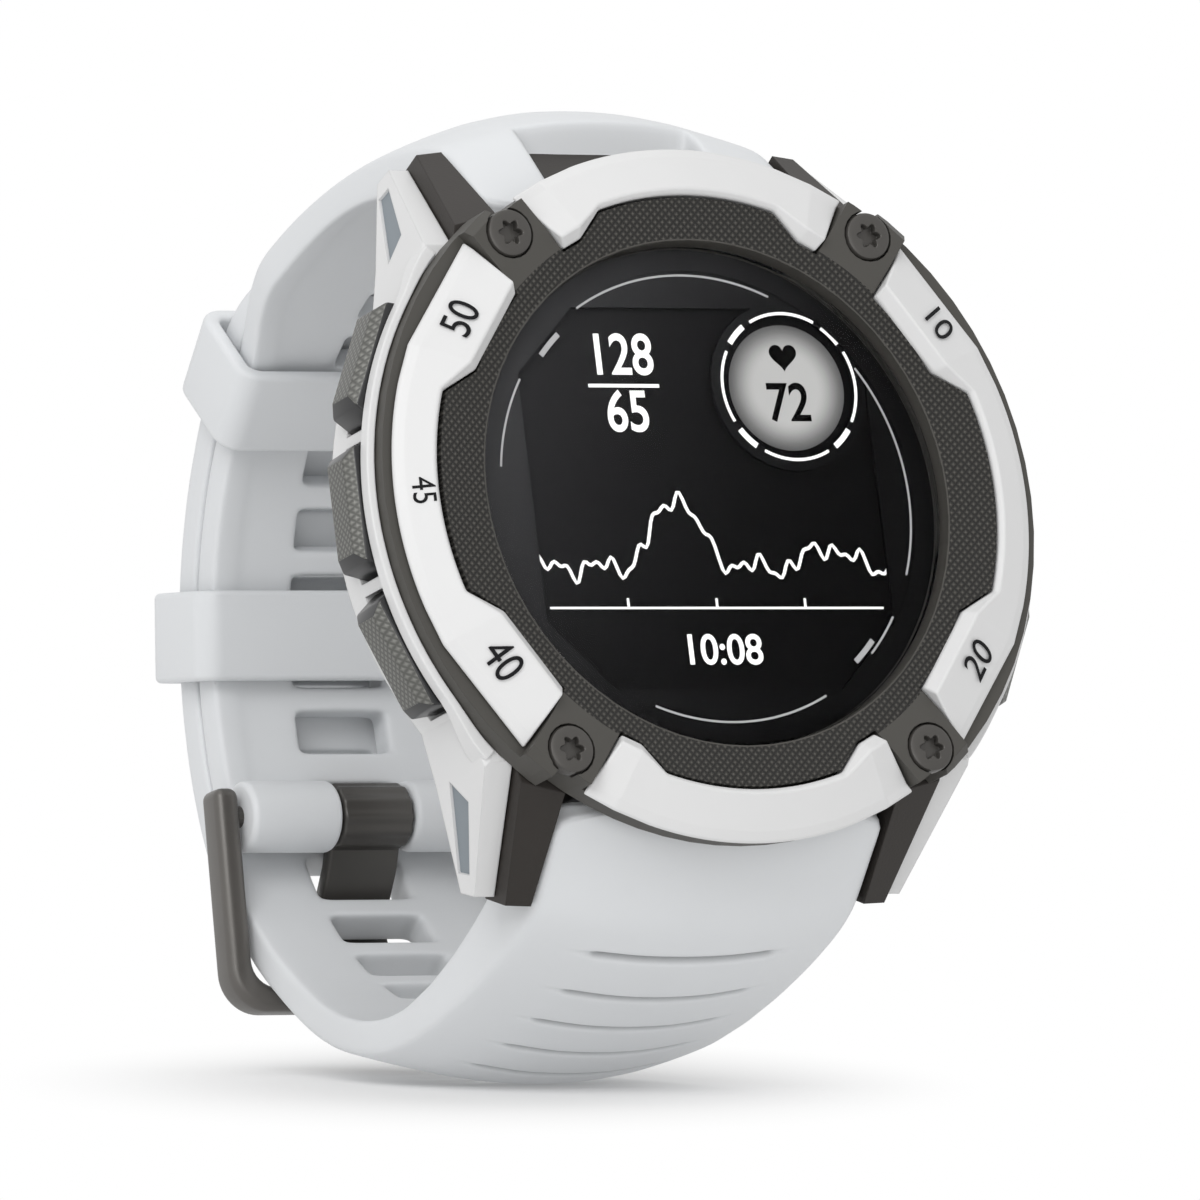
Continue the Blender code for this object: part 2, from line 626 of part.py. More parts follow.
def build_case():
    """Dark case middle: turned body, four lugs, torch block and bores."""
    profile = [
        (LEDGE_RADIUS + FIT, CASE_TOP), (CASE_RADIUS, CASE_TOP), (CASE_RADIUS, CASE_BOTTOM),
        (CAVITY_RADIUS, CASE_BOTTOM), (CAVITY_RADIUS, STEP_Z), (CHAMBER_RADIUS, STEP_Z),
        (CHAMBER_RADIUS, SHELF_TOP - SHELF_THICK), (SHELF_RADIUS, SHELF_TOP - SHELF_THICK),
        (SHELF_RADIUS, SHELF_TOP), (LEDGE_RADIUS + FIT, SHELF_TOP),
    ]
    case = place("middle_case", turned("middle_case", profile, 48), DARK_SHELL)
    for pocket in POCKETS.values():
        combine(case, pocket, "DIFFERENCE")
    for name, (sx, sy) in CORNERS.items():
        combine(case, build_lug(name, sx, sy), "UNION")

    outline = torch_outline()
    torch = prism("torch", [[tuple(p) for p in outline]], -TORCH_HALF, TORCH_HALF, SIDEWAYS)
    combine(case, cutter("join_torch", torch), "UNION")
    middle = outline[4] + SLOPE_RUN * (TORCH_WINDOW_Y / 2 + 1 * MM)
    seat = frame_at((0, middle.x, middle.y), (1, 0, 0), (0, SLOPE_RUN.x, SLOPE_RUN.y))
    half_x = TORCH_WINDOW_X / 2
    half_y = TORCH_WINDOW_Y / 2
    depth = TORCH_WINDOW_THICK + TORCH_LED + 3 * SEAT
    well = block("torch_well", (-half_x - FIT, -half_y - FIT, -depth),
                 (half_x + FIT, half_y + FIT, 1 * MM), seat)
    combine(case, cutter("cut_torch_well", well), "DIFFERENCE")
    pane = place("torch_window", block("torch_window", (-half_x, -half_y, -TORCH_WINDOW_THICK),
                 (half_x, half_y, 0), seat), TORCH_CLEAR)
    ease(pane, 0.15 * MM)
    chip = block("torch_led", (-1.2 * MM, -half_y * 0.7, -depth + SEAT),
                 (1.2 * MM, half_y * 0.7, -depth + SEAT + TORCH_LED), seat)
    place("torch_led", chip, TORCH_CLEAR)

    for name, angle in BUTTONS.items():
        out = Vector((math.cos(angle), math.sin(angle), 0))
        height = Vector((0, 0, BUTTON_Z))
        bore = rod("bore", STEM_RADIUS + SLIDE, out * (CHAMBER_RADIUS - 2 * MM) + height,
                   out * (CASE_RADIUS + 1 * MM) + height, 16)
        combine(case, cutter("cut_bore_" + name, bore), "DIFFERENCE")
        gland_in = CASE_RADIUS - 4 * SEAT - 2 * SEAL_TUBE
        gland = rod("gland", STEM_RADIUS + 3 * SLIDE + 2 * SEAL_TUBE, out * gland_in + height,
                    out * (CASE_RADIUS + 1 * MM) + height, 16)
        combine(case, cutter("cut_gland_" + name, gland), "DIFFERENCE")
    for side, name in ((1, "top"), (-1, "bottom")):
        reach = LUG_INNER + BAR_REACH
        bore = rod("bar_bore", BAR_RADIUS + SLIDE, (-reach - SLIDE, side * BAR_Y, BAR_Z),
                   (reach + SLIDE, side * BAR_Y, BAR_Z), 16)
        combine(case, cutter("cut_bar_bore_" + name, bore), "DIFFERENCE")
        bar = rod("lug_bar", BAR_RADIUS, (-reach, 0, 0), (reach, 0, 0), 16)
        place("lug_bar_" + name, bar, STEEL, (0, side * BAR_Y, BAR_Z))
    for name, (sx, sy) in CORNERS.items():
        x = sx * SCREW_X
        y = sy * SCREW_Y
        low = PAD_Z - SCREW_HEAD_HEIGHT - SCREW_LENGTH - 2 * SEAT
        bore = rod("screw_bore", SCREW_SHANK + SLIDE, (x, y, low), (x, y, PAD_Z + 2 * MM), 16)
        combine(case, cutter("cut_screw_bore_" + name, bore), "DIFFERENCE")


def cap_outline(centre, wide, grow=0.0, outer=BEZEL_RADIUS):
    """Plan outline of a bezel cap about a centre angle."""
    half = abs(SCREW_ANGLE - math.pi / 2)
    if abs(math.sin(centre)) < 0.5:
        half = SCREW_ANGLE
    inset = PAD_HALF - grow
    narrow = CAP_NARROW - grow
    ends = {}
    for sign in (1, -1):
        along = Vector((math.cos(centre + sign * half), math.sin(centre + sign * half)))
        across = Vector((-along.y, along.x)) * -sign * inset
        ends[sign] = [along * math.sqrt(r * r - inset * inset) + across for r in (narrow, outer)]
    start = math.atan2(ends[-1][1].y, ends[-1][1].x)
    stop = math.atan2(ends[1][1].y, ends[1][1].x)
    span = (stop - start) % (2 * math.pi)
    points = arc(outer, start, start + span, 20)
    inner_stop = math.atan2(ends[1][0].y, ends[1][0].x)
    reach = (inner_stop - centre + math.pi) % (2 * math.pi) - math.pi
    points += arc(narrow, centre + reach, centre + CAP_JOG_OUTER, 3)
    points += arc(wide - grow, centre + CAP_JOG_INNER, centre - CAP_JOG_INNER, 10)
    points += arc(narrow, centre - CAP_JOG_OUTER, centre - reach, 3)
    return points


def build_bezel():
    """Dished ring with four screw pads, and the four caps that sit on it."""
    chamfer = SKIRT_STEP
    profile = [
        (LENS_RADIUS + SEAT, RING_TOP), (CAP_WIDE_SIDE, PAD_Z), (SKIRT_RADIUS - chamfer, PAD_Z),
        (SKIRT_RADIUS, PAD_Z - chamfer), (SKIRT_RADIUS, RING_BOTTOM), (LEDGE_RADIUS, RING_BOTTOM),
        (LEDGE_RADIUS, LEDGE_TOP), (LENS_RADIUS + SEAT, LEDGE_TOP),
    ]
    ring = place("bezel_ring", turned("bezel_ring", profile, 64), DARK_SHELL)
    for side in (1, -1):
        half = math.pi / 2 - SCREW_ANGLE
        turn = side * math.pi / 2
        band = arc(SKIRT_END, turn - half, turn + half, 16)
        band += arc(SKIRT_RADIUS + 1 * MM, turn + half, turn - half, 16)
        trim = prism("skirt_trim", [band], RING_BOTTOM - 1 * MM, PAD_Z + 1 * MM)
        combine(ring, cutter("cut_skirt_%+d" % side, trim), "DIFFERENCE")
    crown = CAP_TOP - 0.7 * MM
    form_profile = [
        (CAP_NARROW - 1.5 * MM, crown), (CAP_NARROW + 0.5 * MM, CAP_TOP),
        (CAP_WIDE_SIDE + 0.8 * MM, CAP_TOP), (BEZEL_RADIUS - 0.5 * MM, crown),
        (BEZEL_RADIUS, SKIRT_TOP + 0.7 * MM), (BEZEL_RADIUS, SKIRT_TOP - 1 * MM),
        (CAP_NARROW - 1.5 * MM, SKIRT_TOP - 1 * MM),
    ]
    form = cutter("trim_cap_form", turned("cap_form", form_profile, 64))
    caps = {"bezel_cap_right": (0.0, CAP_WIDE_SIDE), "bezel_cap_top": (math.pi / 2, CAP_WIDE_END),
            "bezel_cap_left": (math.pi, CAP_WIDE_SIDE), "bezel_cap_bottom": (1.5 * math.pi, CAP_WIDE_END)}
    for name, (centre, wide) in caps.items():
        loop = cap_outline(centre, wide, 0.0, BEZEL_RADIUS + 1 * MM)
        cap = place(name, prism(name, [loop], SKIRT_TOP + SEAT, CAP_TOP + 1 * MM), WHITE_SHELL)
        combine(cap, form, "INTERSECT")
        room = cap_outline(centre, wide, FIT, SKIRT_RADIUS + 2 * MM)
        combine(ring, cutter("cut_seat_" + name, prism("cap_seat", [room], SKIRT_TOP, CAP_TOP + 2 * MM)),
                "DIFFERENCE")
    head_low = PAD_Z - SCREW_HEAD_HEIGHT + 0.2 * MM
    for name, (sx, sy) in CORNERS.items():
        x = sx * SCREW_X
        y = sy * SCREW_Y
        sink = rod("sink", SCREW_HEAD + SLIDE, (x, y, head_low - SEAT), (x, y, PAD_Z + 2 * MM), 20)
        combine(ring, cutter("cut_screw_sink_" + name, sink), "DIFFERENCE")
        combine(ring, bpy.data.objects["cut_screw_bore_" + name], "DIFFERENCE")
        head = rod("head", SCREW_HEAD, (0, 0, 0), (0, 0, SCREW_HEAD_HEIGHT), 16)
        screw = place("bezel_screw_" + name, head, STEEL, (x, y, head_low))
        ease(screw, 0.25 * MM)
        shank = rod("shank", SCREW_SHANK, (x, y, head_low + SCREW_HEAD_HEIGHT / 2),
                    (x, y, head_low - SCREW_LENGTH), 12)
        combine(screw, cutter("join_shank_" + name, shank), "UNION")
        lobes = arc(SCREW_HEAD * 0.46, 0, 2 * math.pi - math.pi / 12, 23)
        lobed = []
        for i, (lx, ly) in enumerate(lobes):
            reach = 1.0 + 0.18 * math.cos(6 * i * math.pi / 12)
            lobed.append((x + lx * reach, y + ly * reach))
        drive = prism("drive", [lobed], head_low + SCREW_HEAD_HEIGHT * 0.45, PAD_Z + 2 * MM)
        combine(screw, cutter("cut_drive_" + name, drive), "DIFFERENCE")


def display_outline(margin):
    """Eight-sided display outline that fits inside the lens ledge."""
    reach = LEDGE_RADIUS - FIT - margin
    turns = [DISPLAY_CORNER_LOW, DISPLAY_CORNER_HIGH]
    turns += [math.pi - a for a in reversed(turns)]
    turns += [a + math.pi for a in turns]
    return [(reach * math.cos(a), reach * math.sin(a)) for a in turns]


def build_display():
    """Lens, its gasket, the printed mask and the display behind it."""
    eased = 0.3 * MM
    lens_r = LENS_RADIUS - SEAT
    profile = [(0, LENS_TOP), (lens_r - eased, LENS_TOP), (lens_r, LENS_TOP - eased), (lens_r, LENS_BOTTOM),
               (0, LENS_BOTTOM)]
    place("lens", turned("lens", profile, 64), GLASS)
    inner = LEDGE_RADIUS + SEAT
    outer = LENS_RADIUS - FIT
    ring = [(inner, LEDGE_TOP + SEAT), (outer, LEDGE_TOP + SEAT), (outer, GASKET_TOP), (inner, GASKET_TOP)]
    place("lens_gasket", turned("lens_gasket", ring, 36), RUBBER)
    panel_low = SHELF_TOP + SEAT
    panel_top = panel_low + DISPLAY_THICK
    place("display_panel", prism("display_panel", [display_outline(0.0)], panel_low, panel_top), PANEL)
    mask_low = panel_top + SEAT
    rim = arc(LEDGE_RADIUS - FIT, 0, 2 * math.pi * 47 / 48, 47)
    mask = place("dial_mask", prism("dial_mask", [rim], mask_low, mask_low + MASK_THICK), RUBBER)
    window = prism("mask_window", [display_outline(WINDOW_MARGIN)], mask_low - 1 * MM, mask_low + 1 * MM)
    opening = cutter("cut_mask_window", window)
    low = (SUBDIAL_X, SUBDIAL_Y, mask_low - 2 * MM)
    high = (SUBDIAL_X, SUBDIAL_Y, mask_low + 2 * MM)
    collar = cutter("keep_subdial_collar", rod("collar", SUBDIAL_RADIUS + SUBDIAL_COLLAR, low, high, 32))
    combine(opening, collar, "DIFFERENCE")
    combine(mask, opening, "DIFFERENCE")
    combine(mask, cutter("cut_subdial", rod("subdial", SUBDIAL_RADIUS, low, high, 32)), "DIFFERENCE")


def mirrored(mesh, side):
    """The same mesh on the other side of the dial when side is negative."""
    if side < 0:
        mesh.transform(Matrix.Diagonal((-1, 1, 1, 1)))
        mesh.flip_normals()
    return mesh


def build_guards():
    """White side guards with button windows, wings and pockets."""
    turn = math.asin(GUARD_SPAN / GUARD_OUTER)
    root = CASE_RADIUS * 2 / 3
    inner_turn = math.asin(root / GUARD_INNER)
    tip_y = LUG_TIP_Y - WING_TRIM
    tip_in = LUG_OUTER + FIT
    tip_x = tip_in + WING_THICK
    for side, name in ((-1, "side_guard_left"), (1, "side_guard_right")):
        loop = [(tip_x, -tip_y), (WING_ROOT_X, -WING_ROOT_Y)]
        loop += arc(GUARD_OUTER, -turn, turn, 22)
        loop += [(WING_ROOT_X, WING_ROOT_Y), (tip_x, tip_y), (tip_in, tip_y), (LUG_ROOT_X + FIT, LUG_ROOT_Y)]
        loop += arc(GUARD_INNER, inner_turn, -inner_turn, 22)
        loop += [(LUG_ROOT_X + FIT, -LUG_ROOT_Y), (tip_in, -tip_y)]
        shape = mirrored(prism(name, [loop], GUARD_FOOT, CASE_TOP), side)
        guard = place(name, shape, WHITE_SHELL)
        ease(guard, 0.35 * MM, 70 * DEG)
        low = GUARD_FOOT - 2 * MM
        far = LUG_TIP_Y + 2 * MM
        belly = [(-GUARD_SPAN, GUARD_BOTTOM), (GUARD_SPAN, GUARD_BOTTOM), (tip_y, GUARD_FOOT), (far, GUARD_FOOT),
                 (far, low), (-far, low), (-far, GUARD_FOOT), (-tip_y, GUARD_FOOT)]
        hollow = mirrored(prism("belly", [belly], LUG_INNER, GUARD_OUTER + 2 * MM, SIDEWAYS), side)
        combine(guard, cutter("cut_belly_" + name, hollow), "DIFFERENCE")
        for end in (1, -1):
            drop = WING_SETBACK / SLOPE_RUN.x
            near = LUG_SLOPE_Y - 5 * MM
            ramp = [(near, slope_z(near) - drop), (far, slope_z(far) - drop), (far, CASE_TOP + 9 * MM),
                    (near, CASE_TOP + 9 * MM)]
            ramp = [(end * y, z) for y, z in ramp]
            wedge = mirrored(prism("ramp", [ramp], LUG_INNER, GUARD_OUTER + 2 * MM, SIDEWAYS), side)
            combine(guard, cutter("cut_ramp_%s_%+d" % (name, end), wedge), "DIFFERENCE")
            rake = [(tip_y, LUG_TIP_Z), (tip_y - 1.3 * MM, GUARD_FOOT), (tip_y - 1.3 * MM, low), (far, low),
                    (far, LUG_TIP_Z)]
            rake = [(end * y, z) for y, z in rake]
            wedge = mirrored(prism("rake", [rake], LUG_INNER, GUARD_OUTER + 2 * MM, SIDEWAYS), side)
            combine(guard, cutter("cut_rake_%s_%+d" % (name, end), wedge), "DIFFERENCE")
            along = Vector((tip_x - WING_ROOT_X, tip_y - WING_ROOT_Y))
            span = along.length
            seat = frame_at((side * WING_ROOT_X, end * WING_ROOT_Y, 0), (side * along.x, end * along.y, 0),
                            (0, 0, 1))
            recess = [(0, GUARD_BOTTOM + 0.8 * MM), (span * 0.22, GUARD_BOTTOM + 2.2 * MM),
                      (span * 0.76, GUARD_BOTTOM - 1.4 * MM), (span * 0.70, GUARD_FOOT + 1.1 * MM)]
            dent = prism("recess", [recess], -POCKET_DEPTH, POCKET_DEPTH, seat)
            combine(guard, cutter("cut_recess_%s_%+d" % (name, end), dent), "DIFFERENCE")
        for button, angle in BUTTONS.items():
            if (math.cos(angle) > 0) != (side > 0):
                continue
            half_length = BUTTON_LENGTH / 2 + SLIDE
            half_height = BUTTON_HEIGHT / 2 + SLIDE
            window = block("window", (GUARD_INNER - 3 * MM, -half_length, -half_height),
                           (GUARD_OUTER + 3 * MM, half_length, half_height))
            opening = cutter("cut_window_" + button, window, (0, 0, BUTTON_Z), (0, 0, angle))
            combine(guard, opening, "DIFFERENCE")


def build_buttons():
    """Sliding buttons with stems and retaining clips, seals and switches."""
    face = GUARD_OUTER + BUTTON_PROUD
    back = CASE_RADIUS + BUTTON_TRAVEL + 2 * FIT
    for name, angle in BUTTONS.items():
        out = Vector((math.cos(angle), math.sin(angle), 0))
        spot = out * face + Vector((0, 0, BUTTON_Z))
        bm = bmesh.new()
        bmesh.ops.create_cube(bm, size=1.0)
        bmesh.ops.scale(bm, vec=(face - back, BUTTON_LENGTH, BUTTON_HEIGHT), verts=bm.verts)
        bmesh.ops.translate(bm, vec=((back - face) / 2, 0, 0), verts=bm.verts)
        front = [v for v in bm.verts if v.co.x > -SEAT]
        for vert in front:
            vert.co.y -= math.copysign(BUTTON_RAKE, vert.co.y)
        rim = [e for e in bm.edges if all(v in front for v in e.verts)]
        bmesh.ops.bevel(bm, geom=rim, offset=BUTTON_CHAMFER, offset_type="OFFSET", segments=1,
                        profile=0.5, affect="EDGES", clamp_overlap=True, material=-1)
        mesh = bpy.data.meshes.new(name)
        bm.to_mesh(mesh)
        bm.free()
        button = place(name, mesh, BUTTON_SHELL, spot, (0, 0, angle))
        stem = rod("stem", STEM_RADIUS, (STEM_END - face, 0, 0), (back - face + 0.5 * MM, 0, 0), 16)
        combine(button, cutter("join_stem_" + name, stem, spot, (0, 0, angle)), "UNION")
        clip = rod("clip", CLIP_RADIUS, (STEM_END - face + SLIDE, 0, 0),
                   (STEM_END - face + SLIDE + CLIP_THICK - SEAT, 0, 0), 16)
        combine(button, cutter("join_clip_" + name, clip, spot, (0, 0, angle)), "UNION")

        gland = CASE_RADIUS - 2 * SEAT - SEAL_TUBE
        tube = arc(SEAL_TUBE, 0, 2 * math.pi * 5 / 6, 5, (STEM_RADIUS + SLIDE + SEAL_TUBE, 0.0))
        seal = turned("seal", tube, 16)
        place(name.replace("button", "button_seal"), tidy(seal, Matrix.Rotation(math.pi / 2, 4, "Y")), RUBBER,
              out * gland + Vector((0, 0, BUTTON_Z)), (0, 0, angle))

        floor = STEP_Z
        roof = SHELF_TOP - SHELF_THICK - 4 * SEAT
        body = block("switch", (SWITCH_FACE - SWITCH_DEPTH, -SWITCH_WIDTH / 2, floor),
                     (SWITCH_FACE, SWITCH_WIDTH / 2, roof))
        switch = place(name.replace("button", "switch"), body, RUBBER, (0, 0, 0), (0, 0, angle))
        nose = rod("nose", STEM_RADIUS * 0.7, (SWITCH_FACE - SWITCH_DEPTH / 2, 0, BUTTON_Z),
                   (SWITCH_FACE + SWITCH_NOSE, 0, BUTTON_Z), 12)
        combine(switch, cutter("join_nose_" + name, nose, (0, 0, 0), (0, 0, angle)), "UNION")


def build_inside():
    """Main board with its shield, battery, vibration motor and antenna."""
    board_top = STEP_Z - SEAT
    board_low = board_top - BOARD_THICK
    disc = rod("main_board", CAVITY_RADIUS - FIT, (0, 0, board_low), (0, 0, board_top), 48)
    board = place("main_board", disc, BOARD)
    can = block("shield", (-SHIELD_X / 2, 0, board_low + BOARD_THICK / 2),
                (SHIELD_X / 2, SHIELD_Y, board_top + SHIELD_HEIGHT))
    combine(board, cutter("join_shield", can), "UNION")
    cell_top = board_low - SEAT
    cell = rounded(BATTERY_X / 2, BATTERY_Y / 2, 2.5 * MM, 4)
    place("battery", prism("battery", [cell], cell_top - BATTERY_THICK, cell_top), CELL)
    spot = (2.0 * MM, -9.5 * MM)
    motor = rod("vibration_motor", MOTOR_RADIUS, (0, 0, 0), (0, 0, MOTOR_HEIGHT), 24)
    place("vibration_motor", motor, CELL, (*spot, STEP_Z))
    reach = CHAMBER_RADIUS - FIT
    start = math.pi / 2 - ANTENNA_SPAN / 2
    strip = arc(reach, start, start + ANTENNA_SPAN, 16)
    strip += arc(reach - ANTENNA_THICK, start + ANTENNA_SPAN, start, 16)
    place("gnss_antenna", prism("gnss_antenna", [strip], STEP_Z, SHELF_TOP - SHELF_THICK - 2 * SEAT), CELL)


def loop_point(radius, angle):
    """(y, z) on the strap loop; angle from the back of the loop toward twelve."""
    return Vector((LOOP_Y + radius * math.sin(angle), LOOP_Z - radius * math.cos(angle)))


def smooth(value):
    """Smooth step from 0 to 1."""
    value = min(1.0, max(0.0, value))
    return value * value * (3 - 2 * value)


def lower_inner(angle):
    """Inner radius of the lower strap, which climbs over the upper strap."""
    climb = smooth((angle + 75 * DEG) / (65 * DEG))
    return LOOP_INNER + (TAIL_INNER - LOOP_INNER) * climb


def bezier(a, b, c, d, t):
    """Point on a cubic."""
    s = 1 - t
    return a * s ** 3 + b * 3 * s * s * t + c * 3 * s * t * t + d * t ** 3


def strap_stations(side):
    """Outer edge point, inner edge point, half width, crown and bow along one strap half."""
    upper = side > 0
    thick = STRAP_UPPER_THICK if upper else STRAP_LOWER_THICK
    peak = STRAP_UPPER_CROWN if upper else STRAP_LOWER_CROWN
    root = STRAP_FLAT + 2 * FIT
    half = STRAP_WIDTH / 2
    outer = []
    for share in (0.15, 0.42, 0.72, 1.0):
        y = LUG_SLOPE_Y + (LUG_TIP_Y - LUG_SLOPE_Y) * share
        outer.append(Vector((side * y, slope_z(y) - FIT)))
    drop = outer[0].y
    inner = [Vector((side * root, drop)), Vector((side * root, drop - 3.4 * MM)),
             Vector((side * root, drop - 6.0 * MM)), Vector((side * (root + 0.8 * MM), drop - 7.8 * MM))]
    rise = [0.0, 0.12 * peak, 0.34 * peak, 0.6 * peak]
    stations = [(o, i, half, r, 0.0) for o, i, r in zip(outer, inner, rise)]
    first = 75 * DEG if upper else -80 * DEG
    radius = LOOP_INNER if upper else lower_inner(first)
    tangent = Vector((math.cos(first), math.sin(first))) * side
    outer_end = loop_point(radius + thick, first)
    inner_end = loop_point(radius, first)
    outer_lead = outer[3] + (outer[3] - outer[2]).normalized() * 3.0 * MM
    inner_lead = inner[3] + Vector((side * 6.0 * MM, -4.5 * MM) if upper else (side * 2.4 * MM, -2.0 * MM))
    handle = tangent * (13 * MM if upper else 8 * MM)
    slim = 0.5 * MM
    turns = 8
    for k in range(1, turns):
        t = k / turns
        o = bezier(outer[3], outer_lead, outer_end + handle, outer_end, t)
        i = bezier(inner[3], inner_lead, inner_end + handle, inner_end, t)
        fall = 1 - smooth((t - 0.55) / 0.45) if upper else 1.0
        crown = peak * (0.6 + 0.4 * smooth(2.5 * t)) * fall
        bow = peak * STRAP_BOW * smooth((t - 0.35) / 0.4) * fall
        stations.append((o, i, half - slim * smooth(t), crown, bow))
    last = BUCKLE_ANGLE + 3 * DEG if upper else TAIL_TIP_ANGLE
    count = 20 if upper else 30
    narrow = 50 * DEG if upper else -40 * DEG
    flat = TAIL_TIP_ANGLE + 2 * DEG if upper else 55 * DEG
    fade = 20 * DEG if upper else 30 * DEG
    for k in range(count + 1):
        angle = first + (last - first) * k / count
        radius = LOOP_INNER if upper else lower_inner(angle)
        share = smooth((first - angle) / (first - narrow))
        width = half - slim + (TAIL_HALF - half + slim) * share
        arch = smooth((side * angle - flat) / fade)
        crown = peak * arch
        depth = thick
        if not upper:
            crown = max(crown, STRAP_TAIL_CROWN)
            left = (last - angle) * (radius + thick)
            if left < 9 * MM:
                width *= math.sqrt(max(0.12, 1 - ((9 * MM - left) / (9.6 * MM)) ** 2))
                depth = thick * (0.7 + 0.3 * left / (9 * MM))
        bow = peak * STRAP_BOW * arch
        stations.append((loop_point(radius + depth, angle), loop_point(radius, angle), width, crown, bow))
    return stations


def strap_rings(stations):
    """Sections of a strap half with eased edges and a crowned outside."""
    rings = []
    for k, (outer, inner, half, crown, bow) in enumerate(stations):
        before = stations[max(0, k - 1)][0]
        after = stations[min(len(stations) - 1, k + 1)][0]
        run = (after - before).normalized()
        out = Vector((run.y, -run.x))
        if out.dot(outer - inner) < 0:
            out = -out
        ease_x = min(1.2 * MM, half * 0.4)
        depth = inner - outer
        spots = [(half - ease_x) * i / 3 for i in range(-3, 4)]
        ring = [(-half, outer + depth * 0.2)]
        ring += [(x, outer + out * crown * (1 - (x / half) ** 2)) for x in spots]
        ring += [(half, outer + depth * 0.2), (half, outer + depth * 0.86)]
        spots = [(half - ease_x / 2) * i / 2 for i in range(2, -3, -1)]
        ring += [(x, inner + out * bow * (1 - (x / half) ** 2)) for x in spots]
        ring += [(-half, outer + depth * 0.86)]
        rings.append([(x, p.x, p.y) for x, p in ring])
    return rings


def slot_shape(angle, radius, draw=0.0):
    """Slot cutter through the strap, drawn out toward twelve where the tongue pulls it."""
    middle = loop_point(radius, angle)
    along = (0, math.cos(angle), math.sin(angle))
    seat = frame_at((0, middle.x, middle.y), (1, 0, 0), along)
    loop = rounded(SLOT_LENGTH / 2, (SLOT_WIDTH + draw) / 2, SLOT_WIDTH * 0.32, 2, (0.0, draw / 2))
    return prism("slot", [loop], -4 * MM, 4 * MM, seat)


def rib_shapes(stations, side):
    """Cross grooves that follow the crown on the outside of a strap half, past the lugs."""
    shapes = []
    for k in range(RIBS):
        left = RIB_START + k * RIB_PITCH
        index = 3
        while left > (stations[index + 1][0] - stations[index][0]).length:
            left -= (stations[index + 1][0] - stations[index][0]).length
            index += 1
        near, far = stations[index], stations[index + 1]
        run = (far[0] - near[0]).normalized()
        share = left / (far[0] - near[0]).length
        spot = near[0] + run * left
        crown = near[3] + (far[3] - near[3]) * share
        half = near[2]
        out = Vector((-run.y, run.x)) * side
        seat = frame_at((0, spot.x, spot.y), (side, 0, 0), (0, out.x, out.y))
        sill = []
        for i in range(-4, 5):
            x = RIB_LENGTH / 2 * i / 4
            sill.append((x, crown * (1 - (x / half) ** 2) - RIB_DEPTH))
        sill += [(RIB_LENGTH / 2, crown + 2 * MM), (-RIB_LENGTH / 2, crown + 2 * MM)]
        shapes.append(prism("rib", [sill], -RIB_WIDTH / 2, RIB_WIDTH / 2, seat))
    return gather("ribs", shapes)


def build_latch(strap, stations, side, name):
    """Quick-release slider in a pocket under a strap end."""
    start = stations[3][1]
    end = stations[5][1]
    run = (end - start).normalized()
    inward = Vector((-side * abs(run.y), -abs(run.x)))
    along = Vector((0, run.x, run.y))
    up = Vector((0, inward.x, inward.y))
    seat = frame_at((0, start.x, start.y), up.cross(along), along)
    travel = LATCH_LENGTH + LATCH_TRAVEL + 2 * FIT
    pocket = block("latch_pocket", (-LATCH_WIDTH / 2 - FIT, -FIT, -LATCH_THICK),
                   (LATCH_WIDTH / 2 + FIT, travel - FIT, 4 * MM), seat)
    combine(strap, cutter("cut_latch_" + name, pocket), "DIFFERENCE")
    lid = block("latch", (-LATCH_WIDTH / 2, 0, -LATCH_THICK + FIT), (LATCH_WIDTH / 2, LATCH_LENGTH, 0.1 * MM))
    slider = place("strap_latch_" + name, lid, STEEL)
    slider.location = seat.translation
    slider.rotation_euler = seat.to_euler()
    ease(slider, 0.2 * MM)


